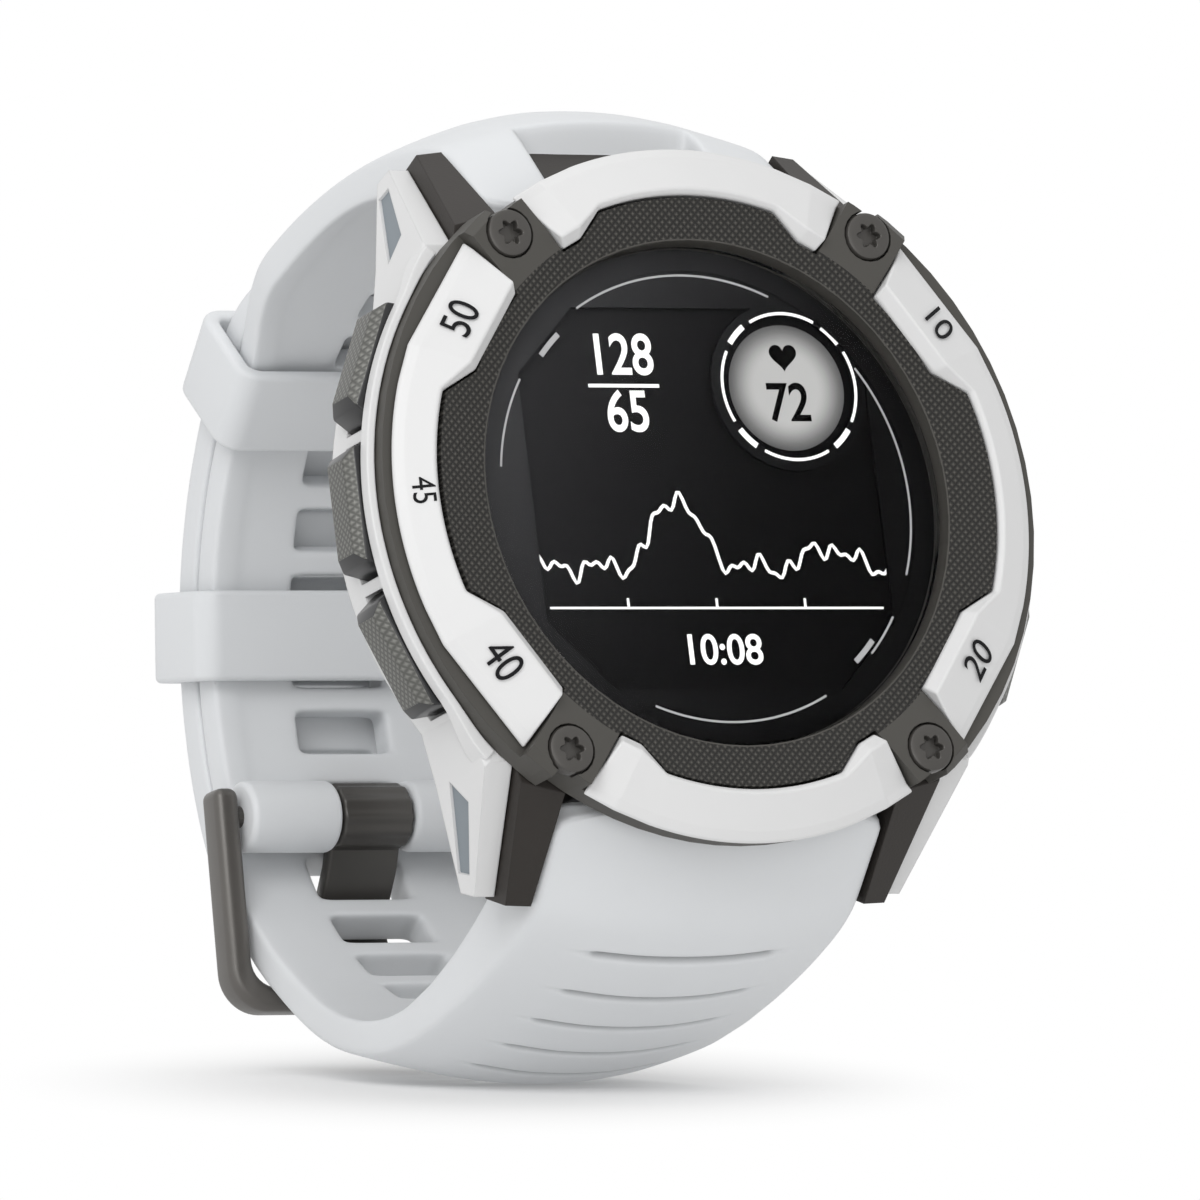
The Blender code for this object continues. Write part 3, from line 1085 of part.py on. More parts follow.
def build_strap():
    """Both strap halves, their keepers, the buckle and the latches."""
    halves = {}
    for side, name in ((1, "strap_upper"), (-1, "strap_lower")):
        stations = strap_stations(side)
        strap = place(name, loft(name, strap_rings(stations)), SILICONE)
        halves[side] = strap
        bore = rod("strap_bore", BAR_RADIUS + SLIDE, (-STRAP_WIDTH, side * BAR_Y, BAR_Z),
                   (STRAP_WIDTH, side * BAR_Y, BAR_Z), 16)
        combine(strap, cutter("cut_strap_bore_" + name, bore), "DIFFERENCE")
        combine(strap, cutter("cut_ribs_" + name, rib_shapes(stations, side)), "DIFFERENCE")
        build_latch(strap, stations, side, "top" if side > 0 else "bottom")

    upper = halves[1]
    lower = halves[-1]
    half_torch = TORCH_HALF + FIT
    outline = torch_outline()
    end = outline[2] + (SLOPE_RUN - SLOPE_OUT) * FIT
    notch = [outline[0] - Vector((0, FIT)), outline[1] - Vector((FIT / 2, FIT)), end,
             end + SLOPE_OUT * 9 * MM, outline[4] + SLOPE_OUT * 9 * MM, outline[5] + Vector((0, 6 * MM))]
    room = prism("torch_notch", [[tuple(p) for p in notch]], -half_torch, half_torch, SIDEWAYS)
    combine(upper, cutter("cut_torch_notch", room), "DIFFERENCE")
    middle = LOOP_INNER + STRAP_UPPER_THICK / 2
    shapes = [slot_shape(UPPER_SLOT_FIRST + k * SLOT_PITCH / middle, middle) for k in range(UPPER_SLOTS)]
    combine(upper, cutter("cut_upper_slots", gather("upper_slots", shapes)), "DIFFERENCE")
    middle = lower_inner(TONGUE_SLOT_ANGLE) + STRAP_LOWER_THICK / 2
    shapes = [slot_shape(TONGUE_SLOT_ANGLE, middle, TONGUE_SLOT_DRAW)]
    for step, count in ((-1, LOWER_SLOTS_BEFORE), (1, LOWER_SLOTS_AFTER)):
        angle = TONGUE_SLOT_ANGLE
        for k in range(count + 1):
            middle = lower_inner(angle) + STRAP_LOWER_THICK / 2
            if k > 0:
                shapes.append(slot_shape(angle, middle))
            angle += step * SLOT_PITCH / middle
    combine(lower, cutter("cut_lower_slots", gather("lower_slots", shapes)), "DIFFERENCE")

    hinge = loop_point(BUCKLE_RADIUS, BUCKLE_ANGLE)
    pivot = Vector((0, hinge.x, hinge.y))
    down = Vector((0, -math.cos(BUCKLE_ANGLE), -math.sin(BUCKLE_ANGLE)))
    outward = Vector((0, math.sin(BUCKLE_ANGLE), -math.cos(BUCKLE_ANGLE)))
    eye_half = TONGUE_WIDTH / 2 + FIT
    for sign in (1, -1):
        knuckle = rod("knuckle", KNUCKLE_RADIUS, pivot + Vector((sign * eye_half, 0, 0)),
                      pivot + Vector((sign * TAIL_HALF, 0, 0)), 20)
        combine(upper, cutter("join_knuckle_%+d" % sign, knuckle), "UNION")
    local = frame_at(pivot, (1, 0, 0), down)
    room = KNUCKLE_RADIUS + 2 * FIT
    gap = block("tongue_gap", (-eye_half, -room, -8 * MM), (eye_half, 12 * MM, 8 * MM), local)
    combine(upper, cutter("cut_tongue_gap", gap), "DIFFERENCE")
    through = rod("through", BUCKLE_BAR_RADIUS + SLIDE, pivot - Vector((STRAP_WIDTH, 0, 0)),
                  pivot + Vector((STRAP_WIDTH, 0, 0)), 16)
    combine(upper, cutter("cut_buckle_bore", through), "DIFFERENCE")
    arm_in = TAIL_HALF + 2 * FIT
    arm_out = arm_in + FRAME_ARM
    bar = rod("buckle_bar", BUCKLE_BAR_RADIUS, (-arm_out, 0, 0), (arm_out, 0, 0), 16)
    place("buckle_bar", bar, STEEL, pivot)

    build_buckle(pivot, down, outward, arm_in, arm_out)
    build_keepers()


def build_buckle(pivot, down, outward, arm_in, arm_out):
    """U-shaped frame and bent tongue, both turning on the buckle bar."""
    cant = math.cos(FRAME_CANT)
    rise = math.sin(FRAME_CANT)
    reach = down * cant + outward * rise
    lift = outward * cant - down * rise
    local = frame_at((0, 0, 0), (1, 0, 0), reach)
    far = FRAME_REACH + FRAME_ARM / 2
    near = -2.0 * MM
    corner = 3.0 * MM
    outer = [(-arm_out, near)]
    outer += [(arm_out, near)]
    outer += arc(corner, 0, math.pi / 2, 5, (arm_out - corner, far - corner))
    outer += arc(corner, math.pi / 2, math.pi, 5, (corner - arm_out, far - corner))
    inside = far - FRAME_ARM
    small = corner - FRAME_ARM * 0.6
    inner = arc(small, math.pi, math.pi / 2, 4, (small - arm_in, inside - small))
    inner += arc(small, math.pi / 2, 0, 4, (arm_in - small, inside - small))
    loop = [(-arm_out, near), (-arm_in, near)] + inner + [(arm_in, near)] + outer[1:]
    body = prism("buckle_frame", [loop], -FRAME_THICK / 2, FRAME_THICK / 2, local)
    frame = place("buckle_frame", body, STEEL, pivot)
    ease(frame, 0.45 * MM)
    hole = rod("frame_bore", BUCKLE_BAR_RADIUS + SLIDE, pivot - Vector((2 * arm_out, 0, 0)),
               pivot + Vector((2 * arm_out, 0, 0)), 16)
    combine(frame, cutter("cut_frame_bore", hole), "DIFFERENCE")

    bar_top = FRAME_REACH * rise + FRAME_THICK / 2 * cant + FRAME_ARM / 2 * rise
    level = bar_top + FIT + TONGUE_THICK / 2
    spin = BUCKLE_ANGLE - TONGUE_SLOT_ANGLE
    middle = lower_inner(TONGUE_SLOT_ANGLE) + STRAP_LOWER_THICK / 2
    through = Vector((middle * math.sin(spin), middle * math.cos(spin) - BUCKLE_RADIUS))
    half_pass = Vector((math.sin(spin + TONGUE_LEAN), math.cos(spin + TONGUE_LEAN))) * STRAP_LOWER_THICK * 0.73
    end = FRAME_REACH * cant + 1.4 * MM
    bend = through + half_pass
    path = [Vector((0.0, 0.0)), through - half_pass, bend, Vector((bend.x + 1.6 * MM, level - 0.15 * MM)),
            Vector((bend.x + 3.6 * MM, level)), Vector((end, level))]
    upper_side = []
    lower_side = []
    for k, point in enumerate(path):
        before = path[max(0, k - 1)]
        after = path[min(len(path) - 1, k + 1)]
        run = (after - before).normalized()
        normal = Vector((-run.y, run.x)) * TONGUE_THICK / 2
        upper_side.append(point + normal)
        lower_side.append(point - normal)
    loop = [(p.x, p.y) for p in upper_side] + [(p.x, p.y) for p in reversed(lower_side)]
    side_view = Matrix(((0, 0, 1, 0), (down.y, outward.y, 0, 0), (down.z, outward.z, 0, 0), (0, 0, 0, 1)))
    blade = prism("buckle_tongue", [loop], -TONGUE_WIDTH / 2, TONGUE_WIDTH / 2, side_view)
    tongue = place("buckle_tongue", blade, STEEL, pivot)
    eye = rod("eye", KNUCKLE_RADIUS - FIT, pivot - Vector((TONGUE_WIDTH / 2, 0, 0)),
              pivot + Vector((TONGUE_WIDTH / 2, 0, 0)), 20)
    combine(tongue, cutter("join_tongue_eye", eye), "UNION")
    hole = rod("tongue_bore", BUCKLE_BAR_RADIUS + SLIDE, pivot - Vector((TONGUE_WIDTH, 0, 0)),
               pivot + Vector((TONGUE_WIDTH, 0, 0)), 16)
    combine(tongue, cutter("cut_tongue_bore", hole), "DIFFERENCE")


def build_keepers():
    """Two keeper loops that slide round the back of the strap."""
    sag = KEEPER_LENGTH ** 2 / (8 * LOOP_INNER)
    low = LOOP_INNER - FIT - sag - KEEPER_WALL
    high = TAIL_OUTER + STRAP_TAIL_CROWN + FIT + KEEPER_WALL
    middle = (low + high) / 2
    half_depth = (high - low) / 2
    half_width = TAIL_HALF + 2 * FIT + KEEPER_WALL
    outer = rounded(half_width, half_depth, 1.8 * MM, 3)
    inner = rounded(half_width - KEEPER_WALL, half_depth - KEEPER_WALL, 0.8 * MM, 2)
    centre = bpy.data.objects.new("loop_centre", None)
    PARTS.objects.link(centre)
    centre.parent = WATCH
    centre.location = (0, LOOP_Y, LOOP_Z)
    upright = Matrix(((1, 0, 0, 0), (0, 0, 1, 0), (0, -1, 0, -middle), (0, 0, 0, 1)))
    for name, angle in (("keeper_upper", KEEPER_UPPER_ANGLE), ("keeper_lower", KEEPER_LOWER_ANGLE)):
        mesh = prism(name, [outer, inner], -KEEPER_LENGTH / 2, KEEPER_LENGTH / 2, upright)
        keeper = place(name, mesh, SILICONE, (0, 0, 0), (angle, 0, 0), centre)
        ease(keeper, 0.4 * MM)


def stand():
    """Set the leaning watch on the ground with its box centred on the origin."""
    bpy.context.view_layer.update()
    graph = bpy.context.evaluated_depsgraph_get()
    lows = [1e9] * 3
    highs = [-1e9] * 3
    for obj in PARTS.objects:
        if obj.type != "MESH":
            continue
        shown = obj.evaluated_get(graph)
        for vert in shown.to_mesh().vertices:
            spot = shown.matrix_world @ vert.co
            lows = [min(a, b) for a, b in zip(lows, spot)]
            highs = [max(a, b) for a, b in zip(highs, spot)]
        shown.to_mesh_clear()
    WATCH.location = (-(lows[0] + highs[0]) / 2, -(lows[1] + highs[1]) / 2, -lows[2])
    bpy.context.view_layer.update()
    print("box", [round((h - l) / MM, 3) for l, h in zip(lows, highs)])
    print("dial frame", [[round(v, 6) for v in row] for row in WATCH.matrix_world])


build_case()
build_back()
build_bezel()
build_display()
build_guards()
build_buttons()
build_inside()
build_strap()
stand()
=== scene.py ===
"""Looks of the golf GPS watch: finer pieces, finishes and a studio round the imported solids."""

import math

import bmesh
import bpy
from bpy.props import FloatProperty, FloatVectorProperty, PointerProperty
from mathutils import Matrix, Vector


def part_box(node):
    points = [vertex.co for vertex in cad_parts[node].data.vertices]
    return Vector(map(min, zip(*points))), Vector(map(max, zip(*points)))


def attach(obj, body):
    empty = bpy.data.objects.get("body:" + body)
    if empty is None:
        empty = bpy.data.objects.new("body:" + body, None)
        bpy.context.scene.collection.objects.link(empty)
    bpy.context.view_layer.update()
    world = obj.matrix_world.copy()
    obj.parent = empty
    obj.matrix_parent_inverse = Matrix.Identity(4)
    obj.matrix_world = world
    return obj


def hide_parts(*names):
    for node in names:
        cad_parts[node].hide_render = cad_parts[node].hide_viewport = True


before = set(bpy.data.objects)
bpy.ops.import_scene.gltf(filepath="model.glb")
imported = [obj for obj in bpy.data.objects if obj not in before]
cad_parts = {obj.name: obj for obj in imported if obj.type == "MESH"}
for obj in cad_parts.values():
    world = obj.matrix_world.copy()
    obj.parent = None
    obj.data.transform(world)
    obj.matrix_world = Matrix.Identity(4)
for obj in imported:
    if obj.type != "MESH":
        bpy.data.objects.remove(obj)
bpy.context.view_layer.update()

bl_info = {
    "name": "Golf GPS Watch",
    "version": (1, 0, 0),
    "blender": (4, 5, 0),
    "location": "View3D > Sidebar > Watch",
    "description": "Builds the finer pieces and finishes of a golf GPS watch",
    "category": "Mesh",
}

MM = 0.001
DEG = math.pi / 180.0
NEAR = 0.01 * MM
SHARP_EDGE = 50.0 * DEG

# Stance and heights of the solids, in the dial frame
LEAN = 15.5 * DEG
CASE_TOP = 9.0 * MM
RING_TOP = 12.0 * MM
SKIRT_TOP = 10.9 * MM
PAD_Z = 12.4 * MM
CAP_TOP = 13.25 * MM
LENS_TOP = 11.3 * MM
LENS_BOTTOM = 10.35 * MM
MASK_TOP = 10.2 * MM
PANEL_TOP = 9.8 * MM
SEAT = 0.10 * MM
FIT = 0.20 * MM

# Case end and lugs
CASE_RADIUS = 23.2 * MM
STRAP_FLAT = 20.4 * MM
LUG_SLOPE_Y = 20.8 * MM
LUG_TIP_Y = 27.2 * MM
LUG_TIP_Z = 2.0 * MM
BAR_Y = 22.4 * MM
BAR_Z = 2.2 * MM
TORCH_NOTCH_HALF = 6.7 * MM
TORCH_DEPTH = 2.0 * MM
TORCH_PAST_TIP = 1.3 * MM

# Bezel
BEZEL_RADIUS = 25.0 * MM
CAP_NARROW = 20.1 * MM
CAP_WIDE_SIDE = 22.0 * MM
CAP_WIDE_END = 21.4 * MM
CAP_JOG_INNER = 19.0 * DEG
CAP_JOG_OUTER = 25.5 * DEG
PAD_HALF = 2.7 * MM
SCREW_X = 14.2 * MM
SCREW_Y = 18.5 * MM
SCREW_HEAD = 1.7 * MM
SCREW_LOBE = 0.18
SCREW_ANGLE = math.atan2(SCREW_Y, SCREW_X)
LENS_RADIUS = 18.0 * MM
SUBDIAL_X = 7.6 * MM
SUBDIAL_Y = 8.1 * MM

# Screen: height of a capital in its font, flatness of a drawn line, points of the graph
CAPITAL_HEIGHT = 0.72
LINE_FLATNESS = 0.2
GRAPH_STEPS = 144

# Side guards
GUARD_BOTTOM = 2.6 * MM
GUARD_FOOT = -1.2 * MM
WING_ROOT = (19.2 * MM, 18.6 * MM)
WING_TIP = (16.7 * MM, 26.7 * MM)
POCKET_DEPTH = 0.8 * MM
LIP_GAP = 0.66 * MM
LIP_FLARE = 33.0 * DEG
LIP_END = 44.0 * DEG
LIP_STEPS = 56

# Buttons
GUARD_OUTER = 25.4 * MM
BUTTON_Z = 6.7 * MM
BUTTON_PITCH = 24.0 * DEG
BUTTON_LENGTH = 9.4 * MM
BUTTON_HEIGHT = 3.7 * MM
BUTTON_FACE = GUARD_OUTER + 1.6 * MM
BUTTON_BACK = CASE_RADIUS + 1.1 * MM
BUTTON_CHAMFER = 0.65 * MM
BUTTON_RAKE = 0.7 * MM

# Strap loop
LOOP_Y = -1.6 * MM
LOOP_Z = RING_TOP - 31.2 * MM
LOOP_INNER = 27.9 * MM
STRAP_WIDTH = 26.0 * MM
TAIL_HALF = 10.2 * MM
UPPER_CROWN = 3.0 * MM
LOWER_CROWN = 2.4 * MM
STRAP_BOW = 0.6
TAIL_CROWN = 0.3 * MM
UPPER_THICK = 2.8 * MM
LOWER_THICK = 2.6 * MM
TAIL_INNER = LOOP_INNER + UPPER_THICK + 0.3 * MM
TAIL_OUTER = TAIL_INNER + LOWER_THICK
TAIL_TIP_ANGLE = 72.0 * DEG
UPPER_ARC_START = 75.0 * DEG
LOWER_ARC_START = -80.0 * DEG
CLIMB_START = -75.0 * DEG
CLIMB_SPAN = 65.0 * DEG
SLOT_HALF = 3.6 * MM
SLOT_WIDTH = 3.2 * MM
SLOT_PITCH = 5.1 * MM
SLOT_MARGIN = 0.6 * MM
UPPER_SLOT_FIRST = -1.7 * DEG
UPPER_SLOTS = 10
TONGUE_SLOT_ANGLE = -22.9 * DEG
TONGUE_SLOT_DRAW = 0.8 * MM
LEAD_SLOTS = 5
TAIL_SLOTS = 8
TAIL_SLOT_WIDTH = 2.0 * MM
RIB_DEPTH = 0.8 * MM
RIB_PITCH = 4.7 * MM
RIB_START = 3.6 * MM
RIBS = 5
RIB_LINES = (0.12 * MM, 0.3 * MM, 0.7 * MM)
RIB_HALF = 7.0 * MM
STRAP_SPACING = 2.4 * MM
TIP_ROUND = 9.0 * MM
LATCH_HALF = 4.7 * MM
LATCH_ROOM = 4.4 * MM
LATCH_DEPTH = 1.1 * MM

# Keepers and buckle
KEEPER_LENGTH = 6.5 * MM
KEEPER_WALL = 1.2 * MM
KEEPER_CORNER = 1.8 * MM
KEEPER_BORE_CORNER = 0.8 * MM
KEEPER_ROUND = 0.42 * MM
KEEPERS = {"keeper_upper": 49.0 * DEG, "keeper_lower": 12.6 * DEG}
BUCKLE_ANGLE = -16.0 * DEG
BUCKLE_RADIUS = 27.4 * MM
KNUCKLE_RADIUS = 2.6 * MM
FRAME_REACH = 13.4 * MM
FRAME_ARM = 1.8 * MM
FRAME_THICK = 2.5 * MM
FRAME_CANT = 19.7 * DEG
TONGUE_WIDTH = 5.6 * MM
TONGUE_THICK = 1.2 * MM
TONGUE_LEAN = 27.0 * DEG

# View of the photograph
VIEW_RIGHT = Vector((0.8827, -0.4699, 0.0096))
VIEW_UP = Vector((0.0, 0.0204, 0.9998))
VIEW_BACK = Vector((-0.470, -0.8826, 0.0181))
VIEW_PIXELS = 14.35 / MM
VIEW_SHIFT = (-118.5, -109.0)
VIEW_DISTANCE = 1.4
VIEW_LENS = 602.7

# Studio: place of each light from the dial, its size and its share of the key power
LIGHTS = {
    "key_light": ((-0.60, -0.50, 0.52), 0.55, 1.0),
    "top_light": ((0.05, 0.10, 0.80), 0.70, 0.34),
    "front_light": ((-0.30, -0.80, 0.02), 0.50, 0.50),
}
AMBIENT = 0.56
FLOOR_BOUNCE = 0.22
SHADOW_REACH = (0.036, 0.085, 1.0)

TURN = Matrix.Rotation(math.pi / 2 - LEAN, 4, "X")
BAR_LOW, BAR_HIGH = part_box("lug_bar_top")
DIAL = Matrix.Translation((BAR_LOW + BAR_HIGH) / 2 - TURN @ Vector((0, BAR_Y, BAR_Z))) @ TURN

SLOPE_RUN = Vector((LUG_TIP_Y - LUG_SLOPE_Y, LUG_TIP_Z - CASE_TOP + SEAT)).normalized()
CORNERS = {"upper_right": (1, 1), "upper_left": (-1, 1), "lower_left": (-1, -1), "lower_right": (1, -1)}
BUTTONS = {
    "button_left_upper": math.pi - BUTTON_PITCH,
    "button_left_middle": math.pi,
    "button_left_lower": math.pi + BUTTON_PITCH,
    "button_right_upper": BUTTON_PITCH,
    "button_right_lower": -BUTTON_PITCH,
}


def length(name, text, value):
    """A length setting."""
    return FloatProperty(name=name, description=text, default=value, unit="LENGTH")


def colour(name, text, value):
    """A colour setting."""
    return FloatVectorProperty(name=name, description=text, subtype="COLOR", size=3,
                               default=value, min=0.0, max=1.0)


class GolfWatchSizes(bpy.types.PropertyGroup):
    """Sizes of the finer pieces."""

    cap_bevel: length("Cap bevel", "Width of the bevel along a cap's inner edge", 0.8 * MM)
    cap_fall: FloatProperty(
        name="Cap fall", description="How much a cap's top falls outward, as a slope", default=0.42)
    cap_drop: length("Cap drop", "How far the ends of the top and bottom caps fall", 0.4 * MM)
    lip_width: length("Lip width", "Width of the guard's lip beside the bezel", 0.55 * MM)
    edge_round: length("Edge round", "Rounding of the moulded pieces' edges", 0.14 * MM)
    panel_step: length("Panel step", "Depth of the panel on the upper strap's inner face", 0.25 * MM)
    digit_height: length("Digit height", "Height of the large digits on the screen", 3.0 * MM)
    key_power: FloatProperty(
        name="Key light", description="Power of the large light on the left", default=3.4, unit="POWER")


class GolfWatchColours(bpy.types.PropertyGroup):
    """Colours of the finishes."""

    white_polymer: colour("White polymer", "Caps and side guards", (0.72, 0.72, 0.72))
    dark_polymer: colour("Dark polymer", "Case middle, lugs and case back", (0.030, 0.026, 0.023))
    ring_polymer: colour("Ring polymer", "Woven ring round the lens", (0.105, 0.100, 0.090))
    button_metal: colour("Button metal", "Hatched buttons", (0.20, 0.20, 0.185))
    dark_steel: colour("Dark steel", "Buckle, bars and screws", (0.062, 0.058, 0.053))
    # Buckle frame: the tongue's steel made lighter as painted light for the light its arms catch, and a
    # little glossier.
    buckle_steel_painted_light: colour("Buckle steel", "Buckle frame", (0.115, 0.108, 0.10))
    silicone: colour("Silicone", "Strap and keepers", (0.735, 0.75, 0.765))
    # Lens print colour, shown as a painted glow by emission.
    print_grey: colour("Lens print", "Thin lines printed under the lens", (0.30, 0.30, 0.30))
    # Screen figures glow by emission: painted light standing in for the light they catch under the lens.
    screen_painted_glow: colour("Screen light", "Lit figures on the screen", (0.72, 0.72, 0.70))


SLOT_OF = {
    "white_polymer": ("side_guard_left", "side_guard_right"),
    "dark_polymer": ("middle_case", "back_cover"),
    "ring_weave": ("bezel_ring",),
    "dark_steel": ("lug_bar_top", "lug_bar_bottom", "buckle_bar", "strap_latch_top", "strap_latch_bottom",
                   "back_screw_upper_right", "back_screw_upper_left", "back_screw_lower_left",
                   "back_screw_lower_right"),
    "black_rubber": ("charging_port", "back_gasket", "lens_gasket"),
    "mask_print_painted_sheen": ("dial_mask",),
    "panel_black_painted_sheen": ("display_panel",),
    "sensor_glass": ("sensor_window",),
    "circuit_board": ("sensor_board", "main_board"),
    "cell_can": ("battery", "vibration_motor", "gnss_antenna"),
    "torch_dark": ("torch_window",),
    "torch_clear": ("torch_led",),
}
PREFIX_FINISH = {"button_seal": "black_rubber", "switch_": "black_rubber"}


def socket(group, name, kind, side, value=None):
    """A named socket on a shader node group."""
    made = group.interface.new_socket(name=name, in_out=side, socket_type=kind)
    if value is not None:
        made.default_value = value


def grain_group():
    """Moulded grain: a fine height, and a slow tone for colour and roughness."""
    group = bpy.data.node_groups.get("moulded_grain")
    if group:
        return group
    group = bpy.data.node_groups.new("moulded_grain", "ShaderNodeTree")
    socket(group, "Vector", "NodeSocketVector", "INPUT")
    socket(group, "Grain Scale", "NodeSocketFloat", "INPUT", 3000.0)
    socket(group, "Tone Scale", "NodeSocketFloat", "INPUT", 90.0)
    socket(group, "Height", "NodeSocketFloat", "OUTPUT")
    socket(group, "Tone", "NodeSocketFloat", "OUTPUT")
    nodes, links = group.nodes, group.links
    inlet = nodes.new("NodeGroupInput")
    outlet = nodes.new("NodeGroupOutput")
    fine = nodes.new("ShaderNodeTexNoise")
    fine.inputs["Detail"].default_value = 3.0
    slow = nodes.new("ShaderNodeTexNoise")
    slow.inputs["Detail"].default_value = 4.0
    slow.inputs["Roughness"].default_value = 0.6
    links.new(inlet.outputs["Vector"], fine.inputs["Vector"])
    links.new(inlet.outputs["Vector"], slow.inputs["Vector"])
    links.new(inlet.outputs["Grain Scale"], fine.inputs["Scale"])
    links.new(inlet.outputs["Tone Scale"], slow.inputs["Scale"])
    links.new(fine.outputs["Fac"], outlet.inputs["Height"])
    links.new(slow.outputs["Fac"], outlet.inputs["Tone"])
    return group


def math_node(tree, operation, first, second=None, third=None, clamp=False):
    """A Math node fed by sockets or plain numbers."""
    node = tree.nodes.new("ShaderNodeMath")
    node.operation = operation
    node.use_clamp = clamp
    for index, value in enumerate((first, second, third)):
        if value is None:
            continue
        if isinstance(value, (int, float)):
            node.inputs[index].default_value = value
        else:
            tree.links.new(value, node.inputs[index])
    return node.outputs[0]


def mix_node(tree, factor, first, second):
    """A colour Mix node fed by sockets or plain colours."""
    node = tree.nodes.new("ShaderNodeMix")
    node.data_type = "RGBA"
    tree.links.new(factor, node.inputs["Factor"])
    for name, value in (("A", first), ("B", second)):
        if isinstance(value, bpy.types.NodeSocket):
            tree.links.new(value, node.inputs[name])
        else:
            node.inputs[name].default_value = (*value, 1.0)
    return node.outputs["Result"]


def map_range(tree, value, low, high, kind="LINEAR"):
    """A Map Range node between two (from, to) pairs."""
    node = tree.nodes.new("ShaderNodeMapRange")
    node.interpolation_type = kind
    for name, number in zip(("From Min", "To Min", "From Max", "To Max"), (*low, *high)):
        node.inputs[name].default_value = number
    tree.links.new(value, node.inputs["Value"])
    return node.outputs["Result"]


def distance_node(tree, x, y):
    """Length of a plan vector."""
    squares = [math_node(tree, "MULTIPLY", value, value) for value in (x, y)]
    return math_node(tree, "SQRT", math_node(tree, "ADD", *squares))


def dial_axes(tree):
    """Object coordinates turned into the dial frame, as x, y and z."""
    coords = tree.nodes.new("ShaderNodeTexCoord")
    mapping = tree.nodes.new("ShaderNodeMapping")
    mapping.vector_type = "TEXTURE"
    mapping.inputs["Location"].default_value = DIAL.translation
    mapping.inputs["Rotation"].default_value = (math.pi / 2 - LEAN, 0, 0)
    split = tree.nodes.new("ShaderNodeSeparateXYZ")
    tree.links.new(coords.outputs["Object"], mapping.inputs["Vector"])
    tree.links.new(mapping.outputs["Vector"], split.inputs["Vector"])
    return split.outputs["X"], split.outputs["Y"], split.outputs["Z"]


def weave_group():
    """Crossed hatch in two directions: low in the grooves, high on the diamonds."""
    group = bpy.data.node_groups.get("crossed_hatch")
    if group:
        return group
    group = bpy.data.node_groups.new("crossed_hatch", "ShaderNodeTree")
    for name in ("U", "V", "Pitch"):
        socket(group, name, "NodeSocketFloat", "INPUT", 0.0005)
    socket(group, "Height", "NodeSocketFloat", "OUTPUT")
    inlet = group.nodes.new("NodeGroupInput")
    outlet = group.nodes.new("NodeGroupOutput")
    rate = math_node(group, "DIVIDE", 2 * math.pi, inlet.outputs["Pitch"])
    waves = []
    for operation in ("ADD", "SUBTRACT"):
        run = math_node(group, operation, inlet.outputs["U"], inlet.outputs["V"])
        waves.append(math_node(group, "SINE", math_node(group, "MULTIPLY", run, rate)))
    both = math_node(group, "MINIMUM", waves[0], waves[1])
    height = math_node(group, "MULTIPLY_ADD", both, 0.5, 0.5)
    group.links.new(height, outlet.inputs["Height"])
    return group


class Finish:
    """A Principled material with moulded grain, built up in steps."""

    def __init__(self, name, base, roughness, metallic=0.0, grain=3000.0, tone=90.0):
        self.material = bpy.data.materials.new(name)
        self.material.use_nodes = True
        self.tree = self.material.node_tree
        self.shader = self.tree.nodes["Principled BSDF"]
        self.shader.inputs["Metallic"].default_value = metallic
        coords = self.tree.nodes.new("ShaderNodeTexCoord")
        self.grain = self.tree.nodes.new("ShaderNodeGroup")
        self.grain.node_tree = grain_group()
        self.grain.inputs["Grain Scale"].default_value = grain
        self.grain.inputs["Tone Scale"].default_value = tone
        self.tree.links.new(coords.outputs["Object"], self.grain.inputs["Vector"])
        self.base = base
        self.roughness = roughness

    def gloss(self, level):
        """Strength of the surface's plain reflection."""
        self.shader.inputs["Specular IOR Level"].default_value = level
        return self

    def tones(self, low=0.93, high=1.04, spread=0.06):
        """Slow drift of colour and roughness over the surface."""
        tone = self.grain.outputs["Tone"]
        self.mix = mix_node(self.tree, tone, [min(1.0, c * low) for c in self.base],
                            [min(1.0, c * high) for c in self.base])
        self.tree.links.new(self.mix, self.shader.inputs["Base Color"])
        rough = map_range(self.tree, tone, (0.0, self.roughness - spread), (1.0, self.roughness + spread))
        self.tree.links.new(rough, self.shader.inputs["Roughness"])
        return self

    def bump(self, height=None, distance=0.01 * MM, strength=0.5, edge=0.0):
        """Grain or a pattern as bump, over softened edges where edge is given."""
        node = self.tree.nodes.new("ShaderNodeBump")
        node.inputs["Distance"].default_value = distance
        node.inputs["Strength"].default_value = strength
        self.tree.links.new(height or self.grain.outputs["Height"], node.inputs["Height"])
        if edge:
            soft = self.tree.nodes.new("ShaderNodeBevel")
            soft.samples = 4
            soft.inputs["Radius"].default_value = edge
            self.tree.links.new(soft.outputs["Normal"], node.inputs["Normal"])
        self.tree.links.new(node.outputs["Normal"], self.shader.inputs["Normal"])
        return self

    def paint_crease_shade(self, distance, dark):
        """Painted shade: darken the base colour by ambient occlusion in grooves and the places where pieces
        meet.
        """
        occlusion_shade = self.tree.nodes.new("ShaderNodeAmbientOcclusion")
        occlusion_shade.samples = 6
        occlusion_shade.only_local = True
        occlusion_shade.inputs["Distance"].default_value = distance
        return self.paint_shade_by(occlusion_shade.outputs["AO"], dark)

    def paint_shade_by(self, height, dark):
        """Painted shade: darken the base colour in the low parts of a pattern."""
        mix = mix_node(self.tree, height, [c * dark for c in self.base], self.mix)
        self.tree.links.new(mix, self.shader.inputs["Base Color"])
        return self


def hatch(made, u, v, pitch):
    """Crossed hatch of a pitch along two axes of a finish."""
    node = made.tree.nodes.new("ShaderNodeGroup")
    node.node_tree = weave_group()
    made.tree.links.new(u, node.inputs["U"])
    made.tree.links.new(v, node.inputs["V"])
    node.inputs["Pitch"].default_value = pitch
    return node.outputs["Height"]


